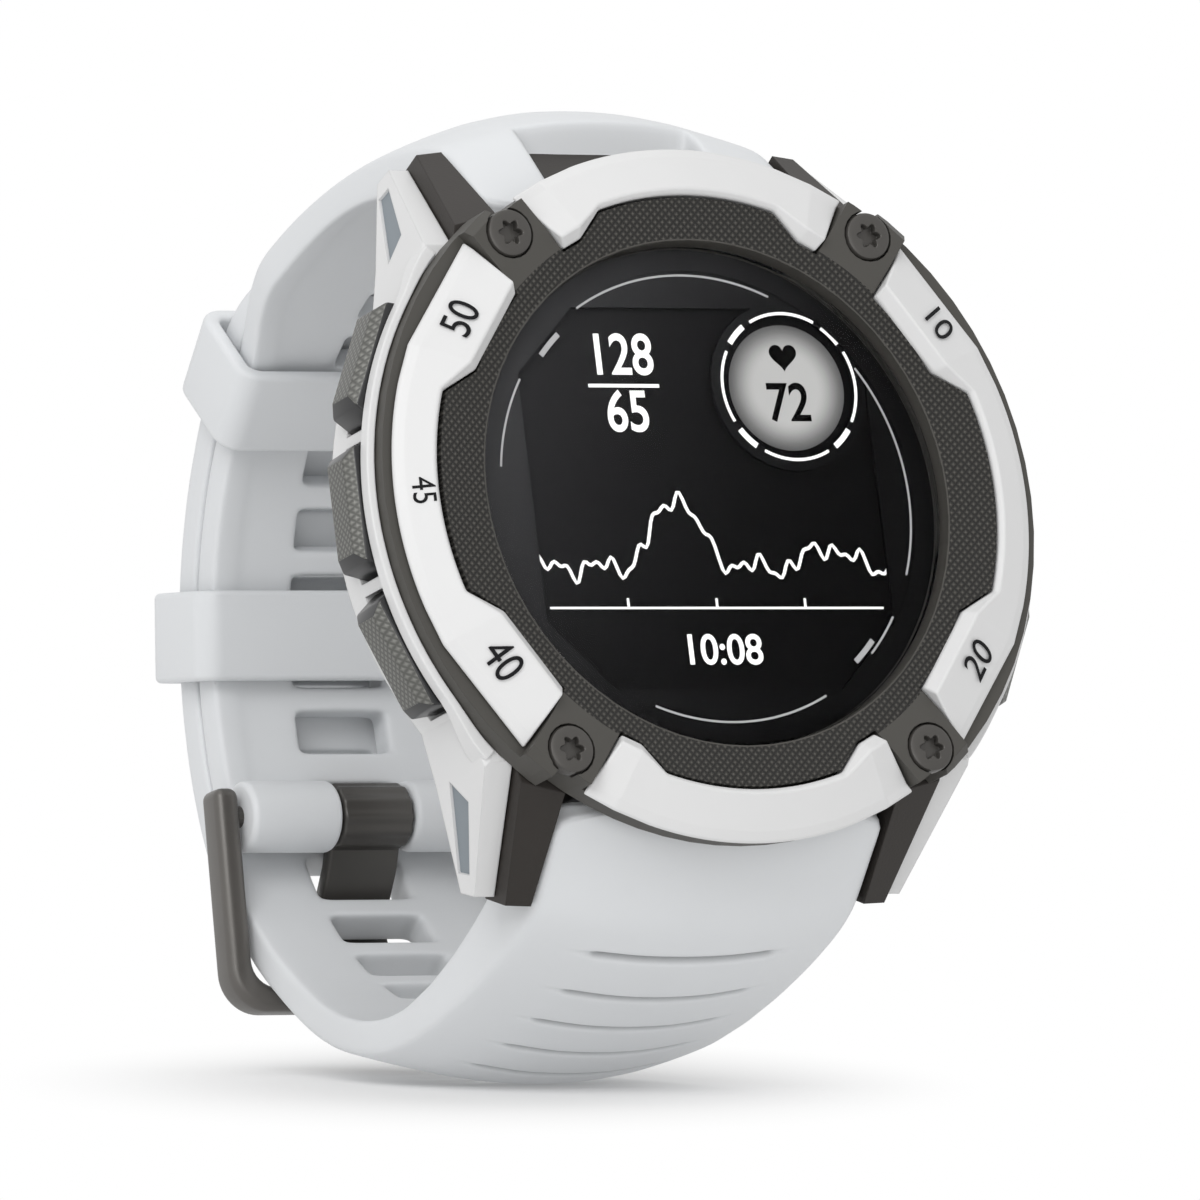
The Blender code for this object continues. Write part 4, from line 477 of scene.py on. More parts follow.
def ring_weave(base):
    """Dark ring with a fine diamond weave, left plain on the screw pads and the skirt; the weave's grooves
    get painted shade.
    """
    made = Finish("ring_weave", base, 0.5).tones(0.9, 1.05)
    tree = made.tree
    x, y, _ = dial_axes(tree)
    across, along = math_node(tree, "ABSOLUTE", x), math_node(tree, "ABSOLUTE", y)
    radius = distance_node(tree, x, y)
    side = math_node(tree, "ABSOLUTE", math_node(
        tree, "SUBTRACT", math_node(tree, "MULTIPLY", across, math.sin(SCREW_ANGLE)),
        math_node(tree, "MULTIPLY", along, math.cos(SCREW_ANGLE))))
    on_pad = math_node(tree, "MULTIPLY", math_node(tree, "LESS_THAN", side, PAD_HALF),
                       math_node(tree, "GREATER_THAN", radius, CAP_NARROW + 0.1 * MM))
    inside = math_node(tree, "MULTIPLY", math_node(tree, "LESS_THAN", radius, CAP_WIDE_SIDE + 0.4 * MM),
                       math_node(tree, "GREATER_THAN", radius, LENS_RADIUS + 0.3 * MM))
    mask = math_node(tree, "MULTIPLY", inside, math_node(tree, "SUBTRACT", 1.0, on_pad))
    weave = hatch(made, x, y, 0.58 * MM)
    plain = math_node(tree, "SUBTRACT", 1.0, mask)
    height = math_node(tree, "ADD", math_node(tree, "MULTIPLY", weave, mask),
                       math_node(tree, "MULTIPLY", plain, 0.62))
    # Painted shade: the base colour darkens toward 0.10 of itself in the weave's grooves.
    made.paint_shade_by(height, 0.10).gloss(0.3)
    return made.bump(height, 0.16 * MM, 1.0, 0.10 * MM).material


def button_hatch(base):
    """Dark metal with a diagonal hatch on the faces, with painted shade in the hatch's grooves."""
    made = Finish("button_hatch", base, 0.42, 0.35).tones(0.85, 1.1)
    _, y, z = dial_axes(made.tree)
    weave = hatch(made, y, z, 0.55 * MM)
    # Painted shade: the base colour darkens toward 0.45 of itself in the hatch's grooves.
    made.paint_shade_by(weave, 0.45)
    return made.bump(weave, 0.05 * MM, 0.6).material


def clear(name, tint, roughness, ior):
    """Clear glass with faint marks in its polish."""
    made = Finish(name, tint, roughness, 0.0, 2500.0, 160.0).tones(0.98, 1.0, roughness * 0.5)
    made.shader.inputs["Transmission Weight"].default_value = 1.0
    made.shader.inputs["IOR"].default_value = ior
    return made.material


def painted_sheen_print(name, low, high):
    """Near-black print with a painted sheen: its colour rises toward the upper left of the dial, standing in
    for a reflection.
    """
    made = Finish(name, (low, low, low * 1.04), 0.6, 0.0, 4000.0).tones(0.9, 1.1)
    tree = made.tree
    x, y, _ = dial_axes(tree)
    way = math_node(tree, "SUBTRACT", math_node(tree, "MULTIPLY", y, 0.55), x)
    rise = math_node(tree, "POWER", math_node(tree, "MULTIPLY_ADD", way, 26.0, 0.42, True), 2.2)
    # Painted reflection: the print lightens toward the high tone at the upper left.
    mix = mix_node(tree, rise, made.mix, (high, high, high * 1.02))
    tree.links.new(mix, made.shader.inputs["Base Color"])
    return made.gloss(0.0).bump(None, 0.002 * MM, 0.1).material


def painted_glow_print(name, tint, strength):
    """Print that glows by emission as painted light, with a faint unevenness."""
    made = Finish(name, tint, 0.5, 0.0, 4000.0, 300.0).tones(0.95, 1.0)
    made.tree.links.new(made.mix, made.shader.inputs["Emission Color"])
    made.shader.inputs["Emission Strength"].default_value = strength
    return made.bump(None, 0.001 * MM, 0.05).material


def painted_subdial_glow(tint):
    """Second dial painted as a glow by emission, which darkens toward its edge."""
    made = Finish("subdial_painted_glow", tint, 0.5, 0.0, 4000.0, 300.0).tones(0.95, 1.0)
    tree = made.tree
    x, y, _ = dial_axes(tree)
    radius = distance_node(tree, math_node(tree, "SUBTRACT", x, SUBDIAL_X),
                           math_node(tree, "SUBTRACT", y, SUBDIAL_Y))
    fade = map_range(tree, radius, (2.4 * MM, 1.0), (4.75 * MM, 0.12), "SMOOTHSTEP")
    tree.links.new(mix_node(tree, fade, (0.0, 0.0, 0.0), made.mix), made.shader.inputs["Emission Color"])
    made.shader.inputs["Base Color"].default_value = (0.02, 0.02, 0.02, 1.0)
    for link in list(made.shader.inputs["Base Color"].links):
        tree.links.remove(link)
    made.shader.inputs["Emission Strength"].default_value = 0.72
    return made.bump(None, 0.001 * MM, 0.05).material


# Colour, roughness, low and high of the slow tones, depth (mm) and strength of the grain
PLAIN_FINISHES = {
    "black_rubber": ((0.012, 0.012, 0.013), 0.7, (0.8, 1.2), (0.01, 0.4)),
    "sensor_glass": ((0.012, 0.013, 0.016), 0.08, (0.9, 1.1, 0.02), (0.001, 0.1)),
    "circuit_board": ((0.01, 0.055, 0.03), 0.45, (0.8, 1.2), (0.02, 0.5)),
    "torch_dark": ((0.016, 0.016, 0.017), 0.25, (0.9, 1.1), (0.002, 0.1)),
    "button_end": ((0.010, 0.010, 0.011), 0.3, (0.8, 1.2), (0.003, 0.2)),
    # Grey-blue of the plates that stand for the shade in the wing pockets: painted shade.
    "pocket_shade": ((0.23, 0.26, 0.285), 0.6, (0.9, 1.1), (0.006, 0.3)),
    "torch_clear": ((0.50, 0.50, 0.46), 0.18, (0.9, 1.05), (0.004, 0.2)),
}


def build_finishes(tints):
    """Every finish of the watch, by name."""
    soft = 0.16 * MM
    made = {
        "white_polymer": Finish("white_polymer", tints.white_polymer, 0.42).tones(0.97, 1.02, 0.05)
        .bump(None, 0.006 * MM, 0.35, soft).material,
        "dark_polymer": Finish("dark_polymer", tints.dark_polymer, 0.5, 0.0, 5200.0)
        .tones(0.88, 1.12, 0.07).gloss(0.25).bump(None, 0.02 * MM, 0.5, soft).material,
        "ring_weave": ring_weave(tints.ring_polymer),
        "button_hatch": button_hatch(tints.button_metal),
        "dark_steel": Finish("dark_steel", tints.dark_steel, 0.38, 0.25, 6000.0).tones(0.85, 1.15, 0.06)
        .bump(None, 0.008 * MM, 0.4, 0.08 * MM).material,
        # Buckle frame: lighter than the tongue's same steel as painted light, and a little glossier and more
        # metallic.
        "buckle_steel_painted_light": Finish("buckle_steel_painted_light", tints.buckle_steel_painted_light, 0.36, 0.3, 6000.0).tones(0.85, 1.15, 0.06)
        .bump(None, 0.006 * MM, 0.3).material,
        # Silicone: painted shade darkens its grooves, slot walls and the places where pieces meet.
        "silicone": Finish("silicone", tints.silicone, 0.5, 0.0, 2600.0, 60.0).tones(0.97, 1.02, 0.05)
        .paint_crease_shade(1.2 * MM, 0.45).bump(None, 0.012 * MM, 0.3).material,
        # Mask and panel: near-black print with a painted sheen toward the upper left.
        "mask_print_painted_sheen": painted_sheen_print("mask_print_painted_sheen", 0.005, 0.06),
        "panel_black_painted_sheen": painted_sheen_print("panel_black_painted_sheen", 0.0035, 0.036),
        "cell_can": Finish("cell_can", (0.45, 0.45, 0.46), 0.35, 0.8).tones(0.9, 1.05)
        .bump(None, 0.01 * MM, 0.3).material,
        "cap_ink": Finish("cap_ink", (0.008, 0.008, 0.009), 0.6).tones(0.9, 1.2).gloss(0.1)
        .bump(None, 0.002 * MM, 0.2).material,
        # Lens print: painted glow by emission.
        "lens_print_painted_glow": painted_glow_print("lens_print_painted_glow", tints.print_grey, 0.55),
        # Screen figures: painted glow by emission.
        "screen_painted_glow": painted_glow_print("screen_painted_glow", tints.screen_painted_glow, 0.75),
        # Second dial: painted glow by emission, fading toward its edge.
        "subdial_painted_glow": painted_subdial_glow(tints.screen_painted_glow),
        "screen_ink": Finish("screen_ink", (0.004, 0.004, 0.004), 0.6).tones(0.9, 1.1).gloss(0.0)
        .bump(None, 0.002 * MM, 0.1).material,
        "lens_clear": clear("lens_clear", (0.97, 0.97, 0.98), 0.01, 1.07),
    }
    for name, (tint, roughness, tones, (depth, strength)) in PLAIN_FINISHES.items():
        made[name] = Finish(name, tint, roughness).tones(*tones).bump(None, depth * MM, strength).material
    return made


FINISHES = {}


def finish(name):
    """A finish by name; all are made on first use."""
    if not FINISHES:
        FINISHES.update(build_finishes(bpy.context.scene.golf_watch_colours))
    return FINISHES[name]


def add_piece(name, bm, surface, body, replaces=(), angle=30.0):
    """Finish a bmesh in the dial frame as a piece that rides on a body."""
    bmesh.ops.remove_doubles(bm, verts=bm.verts, dist=0.0005 * MM)
    bmesh.ops.recalc_face_normals(bm, faces=bm.faces)
    bmesh.ops.transform(bm, matrix=DIAL, verts=bm.verts)
    mesh = bpy.data.meshes.new(name)
    bm.to_mesh(mesh)
    bm.free()
    mesh.materials.append(finish(surface))
    mesh.shade_smooth()
    mesh.set_sharp_from_angle(angle=angle * DEG)
    piece = bpy.data.objects.new(name, mesh)
    bpy.context.scene.collection.objects.link(piece)
    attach(piece, body)
    if replaces:
        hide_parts(*replaces)
    return piece


def round_edges(piece, width, segments=2, limit=25.0):
    """Bevel modifier on a piece's sharp edges."""
    modifier = piece.modifiers.new("round_edges", "BEVEL")
    modifier.width = width
    modifier.segments = segments
    modifier.limit_method = "ANGLE"
    modifier.angle_limit = limit * DEG
    modifier.harden_normals = False
    return piece


def smooth_form(piece, levels=2):
    """Subdivision surface on a soft moulded piece."""
    modifier = piece.modifiers.new("smooth_form", "SUBSURF")
    modifier.levels = levels
    modifier.render_levels = levels
    return piece


def new_loop(bm, points):
    """Closed loop of edges through points."""
    verts = [bm.verts.new(point) for point in points]
    return [bm.edges.new((a, b)) for a, b in zip(verts, verts[1:] + verts[:1])], verts


def sweep(bm, loops):
    """Skin through closed loops of equal count, extruded one after another."""
    edges, row = new_loop(bm, loops[0])
    rows = [row]
    for points in loops[1:]:
        grown = bmesh.ops.extrude_edge_only(bm, edges=edges)["geom"]
        fresh = {item for item in grown if isinstance(item, bmesh.types.BMVert)}
        near = rows[-1]
        far = [next(e.other_vert(v) for e in v.link_edges if e.other_vert(v) in fresh) for v in near]
        for vert, point in zip(far, points):
            vert.co = point
        edges = [bm.edges.get((a, b)) for a, b in zip(far, far[1:] + far[:1])]
        rows.append(far)
    return rows


def close_ends(bm):
    """Fill every open boundary loop."""
    bmesh.ops.holes_fill(bm, edges=[e for e in bm.edges if e.is_boundary], sides=0)


def closed_skin(loops):
    """Bmesh of a skin through loops, with both ends filled."""
    bm = bmesh.new()
    sweep(bm, loops)
    close_ends(bm)
    return bm


def loop_edges(bm, row):
    """Edges of a closed row of vertices."""
    return [bm.edges.get(pair) for pair in zip(row, row[1:] + row[:1])]


def end_rims(verts):
    """Edges that lie square to x, round the flat ends of a solid."""
    return {e for v in verts for e in v.link_edges if abs(e.verts[0].co.x - e.verts[1].co.x) < SEAT}


def sharp_edges(bm):
    """Edges between faces that meet steeply."""
    return [e for e in bm.edges if e.calc_face_angle(0.0) > SHARP_EDGE]


def bevel(bm, edges, width, segments):
    """Round edges, or chamfer them with one segment."""
    bmesh.ops.bevel(bm, geom=list(edges), offset=width, offset_type="OFFSET", segments=segments, profile=0.5,
                    affect="EDGES", clamp_overlap=True, material=-1)


def solid(bm, outline, low, high, matrix=None):
    """Flat outline given a thickness from low to high."""
    edges, verts = new_loop(bm, [(x, y, low) for x, y in outline])
    face = bmesh.ops.contextual_create(bm, geom=edges)["faces"]
    grown = bmesh.ops.extrude_face_region(bm, geom=face)["geom"]
    moved = [item for item in grown if isinstance(item, bmesh.types.BMVert)]
    bmesh.ops.translate(bm, vec=(0, 0, high - low), verts=moved)
    made = verts + moved
    if matrix is not None:
        bmesh.ops.transform(bm, matrix=matrix, verts=made)
    return made


def arc(radius, start, end, count, centre=(0.0, 0.0)):
    """Points of a circular arc, both ends included."""
    turns = [start + (end - start) * i / count for i in range(count + 1)]
    return [(centre[0] + radius * math.cos(a), centre[1] + radius * math.sin(a)) for a in turns]


def rounded(half_x, half_y, radius, count):
    """Outline of a rectangle with round corners."""
    points = []
    for i, (sx, sy) in enumerate(((1, 1), (-1, 1), (-1, -1), (1, -1))):
        middle = (sx * (half_x - radius), sy * (half_y - radius))
        points += arc(radius, i * math.pi / 2, (i + 1) * math.pi / 2, count, middle)
    return points


def frame_at(origin, x_axis, y_axis):
    """Matrix of a local frame from its origin and two axes."""
    x_axis = Vector(x_axis).normalized()
    z_axis = x_axis.cross(Vector(y_axis)).normalized()
    turn = Matrix((x_axis, z_axis.cross(x_axis), z_axis)).transposed().to_4x4()
    return Matrix.Translation(Vector(origin)) @ turn


def loop_point(radius, angle):
    """(y, z) on the strap loop; angle from the back of the loop toward twelve."""
    return Vector((LOOP_Y + radius * math.sin(angle), LOOP_Z - radius * math.cos(angle)))


def ramp(value):
    """Smooth step from 0 to 1."""
    value = min(1.0, max(0.0, value))
    return value * value * (3 - 2 * value)


def lower_inner(angle):
    """Inner radius of the lower strap, which climbs over the upper strap."""
    return LOOP_INNER + (TAIL_INNER - LOOP_INNER) * ramp((angle - CLIMB_START) / CLIMB_SPAN)


def bezier(a, b, c, d, t):
    """Point on a cubic."""
    s = 1 - t
    return a * s ** 3 + b * 3 * s * s * t + c * 3 * s * t * t + d * t ** 3


def blend_rows(near, far, share):
    """A strap section between two others."""
    mixed = [a + (b - a) * share for a, b in zip(near[:5], far[:5])]
    if near[5] is None or far[5] is None:
        return (*mixed, None)
    return (*mixed, near[5] + (far[5] - near[5]) * share)


def strap_sections(side):
    """Fine sections of a strap half: outer edge, inner edge, half width, crown, bow and loop angle."""
    upper = side > 0
    thick = UPPER_THICK if upper else LOWER_THICK
    peak = UPPER_CROWN if upper else LOWER_CROWN
    root = STRAP_FLAT + 2 * FIT
    half = STRAP_WIDTH / 2
    outer = []
    for share in (0.15, 0.42, 0.72, 1.0):
        y = LUG_SLOPE_Y + (LUG_TIP_Y - LUG_SLOPE_Y) * share
        height = CASE_TOP - SEAT + (y - LUG_SLOPE_Y) * SLOPE_RUN.y / SLOPE_RUN.x
        outer.append(Vector((side * y, height - FIT)))
    drop = outer[0].y
    inner = [Vector((side * root, drop)), Vector((side * root, drop - 3.4 * MM)),
             Vector((side * root, drop - 6.0 * MM)), Vector((side * (root + 0.8 * MM), drop - 7.8 * MM))]
    rise = [0.0, 0.12 * peak, 0.34 * peak, 0.6 * peak]
    marks = [(o, i, half, r, 0.0, None) for o, i, r in zip(outer, inner, rise)]
    rows = []
    for near, far in zip(marks, marks[1:]):
        rows += [blend_rows(near, far, k / 6) for k in range(6)]
    tip = len(rows)
    first = UPPER_ARC_START if upper else LOWER_ARC_START
    radius = LOOP_INNER if upper else lower_inner(first)
    tangent = Vector((math.cos(first), math.sin(first))) * side
    outer_end = loop_point(radius + thick, first)
    inner_end = loop_point(radius, first)
    outer_lead = outer[3] + (outer[3] - outer[2]).normalized() * 3.0 * MM
    inner_lead = inner[3] + Vector((side * 6.0 * MM, -4.5 * MM) if upper else (side * 2.4 * MM, -2.0 * MM))
    handle = tangent * (13 * MM if upper else 8 * MM)
    slim = 0.5 * MM
    turns = 60
    for k in range(turns):
        t = k / turns
        o = bezier(outer[3], outer_lead, outer_end + handle, outer_end, t)
        i = bezier(inner[3], inner_lead, inner_end + handle, inner_end, t)
        fall = 1 - ramp((t - 0.55) / 0.45) if upper else 1.0
        crown = peak * (0.6 + 0.4 * ramp(2.5 * t)) * fall
        bow = peak * STRAP_BOW * ramp((t - 0.35) / 0.4) * fall
        rows.append((o, i, half - slim * ramp(t), crown, bow, None))
    last = BUCKLE_ANGLE + 3 * DEG if upper else TAIL_TIP_ANGLE
    narrow = 50 * DEG if upper else -40 * DEG
    flat = TAIL_TIP_ANGLE + 2 * DEG if upper else 55 * DEG
    fade = 20 * DEG if upper else 30 * DEG
    count = 240
    for k in range(count + 1):
        angle = first + (last - first) * k / count
        radius = LOOP_INNER if upper else lower_inner(angle)
        share = ramp((first - angle) / (first - narrow))
        width = half - slim + (TAIL_HALF - half + slim) * share
        arch = ramp((side * angle - flat) / fade)
        crown = peak * arch
        depth = thick
        if not upper:
            crown = max(crown, TAIL_CROWN)
            left = (last - angle) * (radius + thick)
            if left < TIP_ROUND:
                width *= math.sqrt(max(0.12, 1 - ((TIP_ROUND - left) / (TIP_ROUND + 0.6 * MM)) ** 2))
                depth = thick * (0.7 + 0.3 * left / TIP_ROUND)
        rows.append((loop_point(radius + depth, angle), loop_point(radius, angle), width, crown,
                     peak * STRAP_BOW * arch, angle))
    return rows, tip


class StrapGrid:
    """One strap half as a grid of sections, with lines placed for its slots, ribs and pocket."""

    EDGE = 0.22 * MM
    OUTER = (7.3 * MM, 6.9 * MM, 6.6 * MM, LATCH_HALF, SLOT_HALF, 2.4 * MM, 0.0)
    SIDE_TOP = 0.08
    SIDE_FOOT = 0.92
    SLOT_OUTER = (6, 10)
    SLOT_INNER = (23, 27)
    POCKET_INNER = (22, 28)

    def __init__(self, side, step):
        self.side = side
        self.step = step
        self.rows, tip = strap_sections(side)
        self.run = [0.0]
        for near, far in zip(self.rows, self.rows[1:]):
            self.run.append(self.run[-1] + (far[0] - near[0]).length)
        self.tip = self.run[tip]
        self.start_inner = self.rows[tip][1]
        self.lines = []
        self.slots = []
        self.ribs = []
        self.pocket = None
        self.notch = None
        self.gap = None

    def section(self, run):
        """Section at a distance along the outer edge."""
        index = 0
        while index < len(self.run) - 2 and self.run[index + 1] < run:
            index += 1
        share = (run - self.run[index]) / (self.run[index + 1] - self.run[index])
        return blend_rows(self.rows[index], self.rows[index + 1], share)

    def run_at(self, angle):
        """Distance along the outer edge at a loop angle, also just before the arc begins."""
        arcs = [k for k, row in enumerate(self.rows) if row[5] is not None]
        first, last = arcs[0], arcs[-1]
        rate = (self.run[first + 1] - self.run[first]) / (self.rows[first + 1][5] - self.rows[first][5])
        if (angle - self.rows[first][5]) * rate < 0:
            return self.run[first] + (angle - self.rows[first][5]) * rate
        span = (angle - self.rows[first][5]) / (self.rows[last][5] - self.rows[first][5])
        spot = min(last - 1, first + int(span * (last - first)))
        share = (angle - self.rows[spot][5]) / (self.rows[spot + 1][5] - self.rows[spot][5])
        return self.run[spot] + share * (self.run[spot + 1] - self.run[spot])

    def add_slot(self, angle, radius, draw=0.0, width=SLOT_WIDTH):
        """Lines for one slot across the strap."""
        half = width / 2 / radius
        ends = sorted((self.run_at(angle - half), self.run_at(angle + half + draw / radius)))
        inset = width / 4
        self.lines += [ends[0] - SLOT_MARGIN, ends[0], ends[0] + inset]
        self.lines += [ends[1] - inset, ends[1], ends[1] + SLOT_MARGIN]
        self.slots.append(tuple(ends))

    def add_rib(self, run):
        """Lines for one cross groove."""
        self.lines += [run + sign * away for sign in (-1, 1) for away in RIB_LINES]
        self.ribs.append(run)

    def inner_run(self, distance):
        """Distance along the outer edge whose inner point lies so far past the lug tip."""
        index = next(k for k, run in enumerate(self.run) if run >= self.tip)
        while (self.rows[index][1] - self.start_inner).length < distance:
            index += 1
        return self.run[index]

    def place_lines(self, spacing):
        """All section distances, the set ones and plain ones between them."""
        fixed = sorted(set(round(v, 7) for v in self.lines))
        end = self.run[-1]
        plain = [end * k / round(end / spacing) for k in range(round(end / spacing) + 1)]
        kept = [v for v in plain if all(abs(v - f) > spacing * 0.45 for f in fixed)]
        kept = [v for v in kept if 0 < v < end]
        self.lines = sorted([0.0, end] + kept + [f for f in fixed if 0.1 * MM < f < end - 0.1 * MM])

    def ring(self, run):
        """Closed section ring: outer columns, one side, inner columns, other side."""
        outer, inner, half, crown, bow, _ = self.section(run)
        reach = 0.4 * MM
        before = self.section(max(0.0, run - reach))[0]
        after = self.section(min(self.run[-1], run + reach))[0]
        way = (after - before).normalized()
        out = Vector((way.y, -way.x))
        if out.dot(outer - inner) < 0:
            out = -out
        depth = inner - outer
        fit = min(1.0, (half - self.EDGE) / (9.3 * MM))
        rim = half - self.EDGE
        columns = [rim, (rim + self.OUTER[0] * fit) / 2] + [c * fit for c in self.OUTER]
        columns = [-c for c in columns] + columns[-2::-1]
        in_notch = self.notch is not None and run <= self.notch
        on_rib = any(abs(run - rib) < 0.2 * MM for rib in self.ribs)
        ring = []
        for x in columns:
            lift = crown * (1 - (x / half) ** 2)
            if in_notch and abs(x) < TORCH_NOTCH_HALF:
                lift = FIT - TORCH_DEPTH
            if on_rib and abs(x) < RIB_HALF:
                lift -= RIB_DEPTH
            ring.append((x, outer + out * lift))
        ring += [(half, outer + depth * self.SIDE_TOP), (half, outer + depth * self.SIDE_FOOT)]
        fit = min(1.0, (half - 2.35 * MM) / (7.8 * MM))
        columns = [half - 0.2 * MM, half - 1.9 * MM, half - 2.2 * MM]
        columns = [c * min(1.0, half / (6.0 * MM)) for c in columns]
        columns += [c * max(0.1, fit) for c in self.OUTER[3:]]
        columns = columns + [-c for c in columns[-2::-1]]
        for k, x in enumerate(columns):
            lift = bow * (1 - (x / half) ** 2)
            if 2 <= k <= len(columns) - 3:
                lift += self.step
            ring.append((x, inner + out * lift))
        ring += [(-half, outer + depth * self.SIDE_FOOT), (-half, outer + depth * self.SIDE_TOP)]
        return [(x, p.x, p.y) for x, p in ring]

    def faces(self, bm, grid, low, high, columns):
        """Faces between two distances and two columns."""
        found = []
        for k in range(len(self.lines) - 1):
            if self.lines[k] < low - NEAR or self.lines[k + 1] > high + NEAR:
                continue
            for j in range(*columns):
                found.append(bm.faces.get((grid[k][j], grid[k][j + 1], grid[k + 1][j + 1], grid[k + 1][j])))
        return found

    def rim(self, grid, low, high, columns, open_end=False):
        """Vertices round a set of removed faces, in order."""
        rows = [k for k, v in enumerate(self.lines) if low - NEAR <= v <= high + NEAR]
        a, b = columns
        if open_end:
            path = [grid[k][a] for k in reversed(rows)] + [grid[rows[0]][j] for j in range(a + 1, b)]
            return path + [grid[k][b] for k in rows]
        path = [grid[rows[0]][j] for j in range(a, b + 1)] + [grid[k][b] for k in rows[1:]]
        path += [grid[rows[-1]][j] for j in range(b - 1, a - 1, -1)]
        return path + [grid[k][a] for k in reversed(rows[1:-1])]

    def cut(self, bm, grid, low, high, open_end=False):
        """Cut a slot right through, and wall it."""
        gone = [face for columns in (self.SLOT_OUTER, self.SLOT_INNER)
                for face in self.faces(bm, grid, low, high, columns)]
        outer = self.rim(grid, low, high, self.SLOT_OUTER, open_end)
        inner = self.rim(grid, low, high, self.SLOT_INNER, open_end)
        bmesh.ops.delete(bm, geom=gone, context="FACES")
        edges = []
        for path in (outer, inner):
            pairs = zip(path, path[1:]) if open_end else zip(path, path[1:] + path[:1])
            edges += [bm.edges.get(pair) for pair in pairs]
        walls = bmesh.ops.bridge_loops(bm, edges=edges)["faces"]
        sides = {e for f in walls for e in f.edges} - set(edges)
        bmesh.ops.subdivide_edges(bm, edges=list(sides), cuts=2, use_grid_fill=True)

    def found(self, bm, spots):
        """The grid's vertices looked up again by place, as an operator may renew them all."""
        by_place = {tuple(v.co): v for v in bm.verts}
        return [[by_place.get(spot) for spot in row] for row in spots]

    def build(self, spacing):
        """The finished bmesh of the strap half."""
        self.place_lines(spacing)
        bm = bmesh.new()
        grid = sweep(bm, [self.ring(run) for run in self.lines])
        spots = [[tuple(v.co) for v in row] for row in grid]
        for low, high in self.slots:
            self.cut(bm, self.found(bm, spots), low, high)
        grid = self.found(bm, spots)
        if self.pocket:
            floor = self.faces(bm, grid, *self.pocket, self.POCKET_INNER)
            outer, inner = self.section(sum(self.pocket) / 2)[:2]
            way = (outer - inner).normalized() * LATCH_DEPTH
            grown = bmesh.ops.extrude_face_region(bm, geom=floor)["geom"]
            bmesh.ops.delete(bm, geom=floor, context="FACES")
            moved = [item for item in grown if isinstance(item, bmesh.types.BMVert)]
            bmesh.ops.translate(bm, vec=(0, way.x, way.y), verts=moved)
        if self.gap is not None:
            self.cut(bm, self.found(bm, spots), self.gap, self.run[-1], True)
        close_ends(bm)
        return bm


class GOLFWATCH_OT_strap_upper(bpy.types.Operator):
    """Upper strap half with its slots, torch notch and buckle knuckles"""

    bl_idname = "golf_watch.strap_upper"
    bl_label = "Upper strap half"

    def execute(self, context):
        strap = StrapGrid(1, context.scene.golf_watch_sizes.panel_step)
        middle = LOOP_INNER + UPPER_THICK / 2
        for k in range(UPPER_SLOTS):
            strap.add_slot(UPPER_SLOT_FIRST + k * SLOT_PITCH / middle, middle)
        strap.notch = strap.tip + TORCH_PAST_TIP
        strap.lines += [strap.notch, strap.notch + 0.3 * MM]
        strap.pocket = (strap.inner_run(NEAR), strap.inner_run(LATCH_ROOM))
        strap.lines += list(strap.pocket)
        strap.gap = strap.run_at(BUCKLE_ANGLE + (KNUCKLE_RADIUS + 2 * FIT) / BUCKLE_RADIUS)
        strap.lines += [strap.gap, strap.gap - 0.5 * MM]
        piece = add_piece("upper_strap", strap.build(STRAP_SPACING), "silicone", "watch",
                          ("strap_upper",), 180.0)
        smooth_form(piece)

        hinge = loop_point(BUCKLE_RADIUS, BUCKLE_ANGLE)
        bm = bmesh.new()
        start = TONGUE_WIDTH / 2 + FIT
        for sign in (1, -1):
            centre = sign * (start + TAIL_HALF) / 2
            seat = Matrix.Translation((centre, hinge.x, hinge.y)) @ Matrix.Rotation(math.pi / 2, 4, "Y")
            made = bmesh.ops.create_cone(bm, cap_ends=True, segments=64, radius1=KNUCKLE_RADIUS,
                                         radius2=KNUCKLE_RADIUS, depth=TAIL_HALF - start, matrix=seat)
            bevel(bm, end_rims(made["verts"]), 0.5 * MM, 5)
        add_piece("strap_knuckles", bm, "silicone", "watch", ("strap_upper",), 40.0)
        return {"FINISHED"}


class GOLFWATCH_OT_strap_lower(bpy.types.Operator):
    """Lower strap half with its slots, cross grooves and tail"""

    bl_idname = "golf_watch.strap_lower"
    bl_label = "Lower strap half"

    def execute(self, context):
        strap = StrapGrid(-1, 0.0)
        middle = lower_inner(TONGUE_SLOT_ANGLE) + LOWER_THICK / 2
        strap.add_slot(TONGUE_SLOT_ANGLE, middle, TONGUE_SLOT_DRAW)
        for step, count, width in ((-1, LEAD_SLOTS, SLOT_WIDTH), (1, TAIL_SLOTS, TAIL_SLOT_WIDTH)):
            angle = TONGUE_SLOT_ANGLE
            for k in range(count + 1):
                middle = lower_inner(angle) + LOWER_THICK / 2
                if k > 0:
                    strap.add_slot(angle, middle, 0.0, width)
                angle += step * SLOT_PITCH / middle
        for k in range(RIBS):
            strap.add_rib(strap.tip + RIB_START + k * RIB_PITCH)
        strap.pocket = (strap.inner_run(NEAR), strap.inner_run(LATCH_ROOM))
        strap.lines += list(strap.pocket)
        piece = add_piece("lower_strap", strap.build(STRAP_SPACING), "silicone", "watch",
                          ("strap_lower",), 180.0)
        smooth_form(piece)
        return {"FINISHED"}


